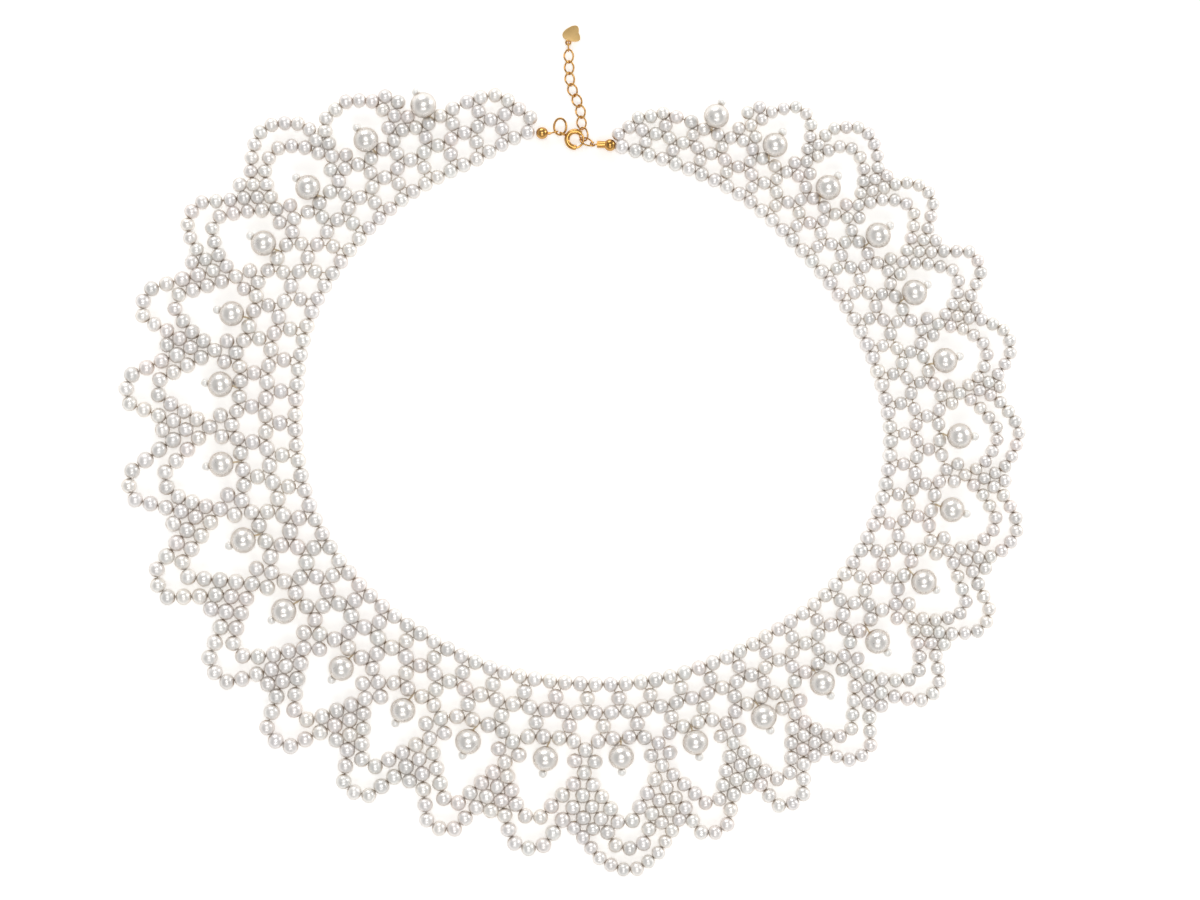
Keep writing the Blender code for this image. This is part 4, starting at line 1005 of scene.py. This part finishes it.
def findings():
    """Everything of metal at the back opening."""
    gold_bead("gold_ball_left", BALL_LEFT, "end_bead_left")
    gold_bead("gold_ball_right", BALL_RIGHT, "end_bead_right")
    for side, pin in (("left", LEFT_PIN), ("right", RIGHT_PIN)):
        path, radii = eye(*pin)
        gold_piece(f"eye_{side}", wire(path, radii, closed=False), f"eye_pin_{side}")
    tipped = Vector((math.cos(LEFT_RING_TIP), 0.0, math.sin(LEFT_RING_TIP)))
    ring = oval(LEFT_RING_AT, Vector((0, 1, 0)), tipped, LEFT_RING_LONG, LEFT_RING_WIDE)
    gold_piece("ring_left", wire(ring, [RING_WIRE] * len(ring)), "jump_ring_left")
    run = heading(RIGHT_RING_TURN)
    tipped = Matrix.Rotation(-RIGHT_RING_TIP, 3, run) @ rolled(run, 0)
    ring = oval(RIGHT_RING_AT, run, tipped, RIGHT_RING_LONG, RIGHT_RING_WIDE)
    gold_piece("ring_right", wire(ring, [WIRE_R] * len(ring)), "jump_ring_right")
    clasp()
    for i in range(len(LINKS)):
        path = link_path(i)
        # the first link stays with the collar, and the extender swings on it, so these two keep more room
        body = "collar" if i == 0 else "extender"
        thick = WIRE_R if i < 2 else LINK_WIRE
        gold_piece(f"curb_link_{i + 1}", wire(path, [thick] * len(path)), f"chain_link_{i + 1}", body)
    centre, run = tag_ring_place()
    ring = oval(centre, run, Vector((0, 0, 1)), TAG_RING_LONG, TAG_RING_WIDE)
    gold_piece("ring_tag", wire(ring, [TAG_RING_WIRE] * len(ring)), "tag_ring", "extender")
    heart_tag()


# ---------------------------------------------------------------- stage, light and camera

# lengths here are metres; the view's width and centre are at the pearls' own level
FLOOR_HALF, FLOOR_PARTS = 1.5, 8
CAMERA_LENS, SENSOR_WIDE = 100.0, 36.0
CLIP_NEAR, CLIP_FAR = 0.01, 10.0
VIEW_WIDE, VIEW_LEVEL = 0.2453, 0.0015
VIEW_CENTRE = Vector((0.0057, 0.0001))
# each softbox: degrees from overhead, bearing from +X in degrees, how far, how wide, how deep, radiance
SOFTBOXES = (
    ("overhead", 5.0, 70.0, 1.3, 0.62, 0.62, 3.1),
    ("front", 38.0, -86.0, 1.2, 0.80, 0.32, 2.8),
    ("back", 68.0, 102.0, 1.3, 0.80, 0.50, 3.4),
    ("side", 74.0, 25.0, 1.4, 0.45, 0.50, 5.0),
)
# the grey of the studio around, by the sine of the height above the floor
SKY_STOPS = [(up, (grey, grey, grey)) for up, grey in
             ((0.0, 0.98), (0.15, 0.80), (0.35, 0.52), (0.6, 0.38), (1.0, 0.40))]
SKY_STRENGTH = 1.0


def stage():
    shape = bmesh.new()
    bmesh.ops.create_grid(shape, x_segments=FLOOR_PARTS, y_segments=FLOOR_PARTS, size=FLOOR_HALF)
    mesh = bpy.data.meshes.new("table_top")
    shape.to_mesh(mesh)
    shape.free()
    mesh.materials.append(floor_white())
    placed("table_top", mesh)


def softbox(name, from_zenith, compass, far, wide, deep, radiance):
    """An area light in a direction given by its angle from overhead and its bearing from +X, facing the
    collar, and as bright per square metre as radiance says."""
    data = bpy.data.lights.new(name, "AREA")
    data.shape = "RECTANGLE"
    data.size, data.size_y = wide, deep
    data.energy = radiance * math.pi * wide * deep
    lamp = placed(name, data)
    tilt, turn = math.radians(from_zenith), math.radians(compass)
    way = Vector((math.sin(tilt) * math.cos(turn), math.sin(tilt) * math.sin(turn), math.cos(tilt)))
    lamp.location = way * far
    lamp.rotation_mode = "QUATERNION"
    lamp.rotation_quaternion = way.to_track_quat("Z", "Y")
    lamp.visible_camera = False


def sky():
    """A dim studio: bright low down where the pale surroundings stand, darker overhead."""
    world = bpy.data.worlds.new("studio")
    bpy.context.scene.world = world
    world.use_nodes = True
    tree = world.node_tree
    where = add(tree, "ShaderNodeTexCoord")
    split = add(tree, "ShaderNodeSeparateXYZ")
    join(tree, where, "Generated", split, "Vector")
    shade = ramp(tree, split, SKY_STOPS, "Z")
    join(tree, shade, "Color", tree.nodes["Background"], "Color")
    dial(tree.nodes["Background"], {"Strength": SKY_STRENGTH})


def camera():
    """A camera straight above the collar."""
    data = bpy.data.cameras.new("overhead_camera")
    data.lens = CAMERA_LENS
    data.sensor_width = SENSOR_WIDE
    thing = placed("overhead_camera", data)
    high = VIEW_WIDE * CAMERA_LENS / data.sensor_width + VIEW_LEVEL
    thing.location = (VIEW_CENTRE.x, VIEW_CENTRE.y, high)
    data.clip_start, data.clip_end = CLIP_NEAR, CLIP_FAR
    bpy.context.scene.camera = thing


def build():
    beads, pairs = place_pearls()
    settle(beads, pairs)
    pearl_work(beads, pairs)
    drops(beads)
    findings()
    stage()
    for row in SOFTBOXES:
        softbox(*row)
    sky()
    camera()
    bpy.context.scene.view_settings.view_transform = "Standard"


build()

bpy.context.view_layer.update()
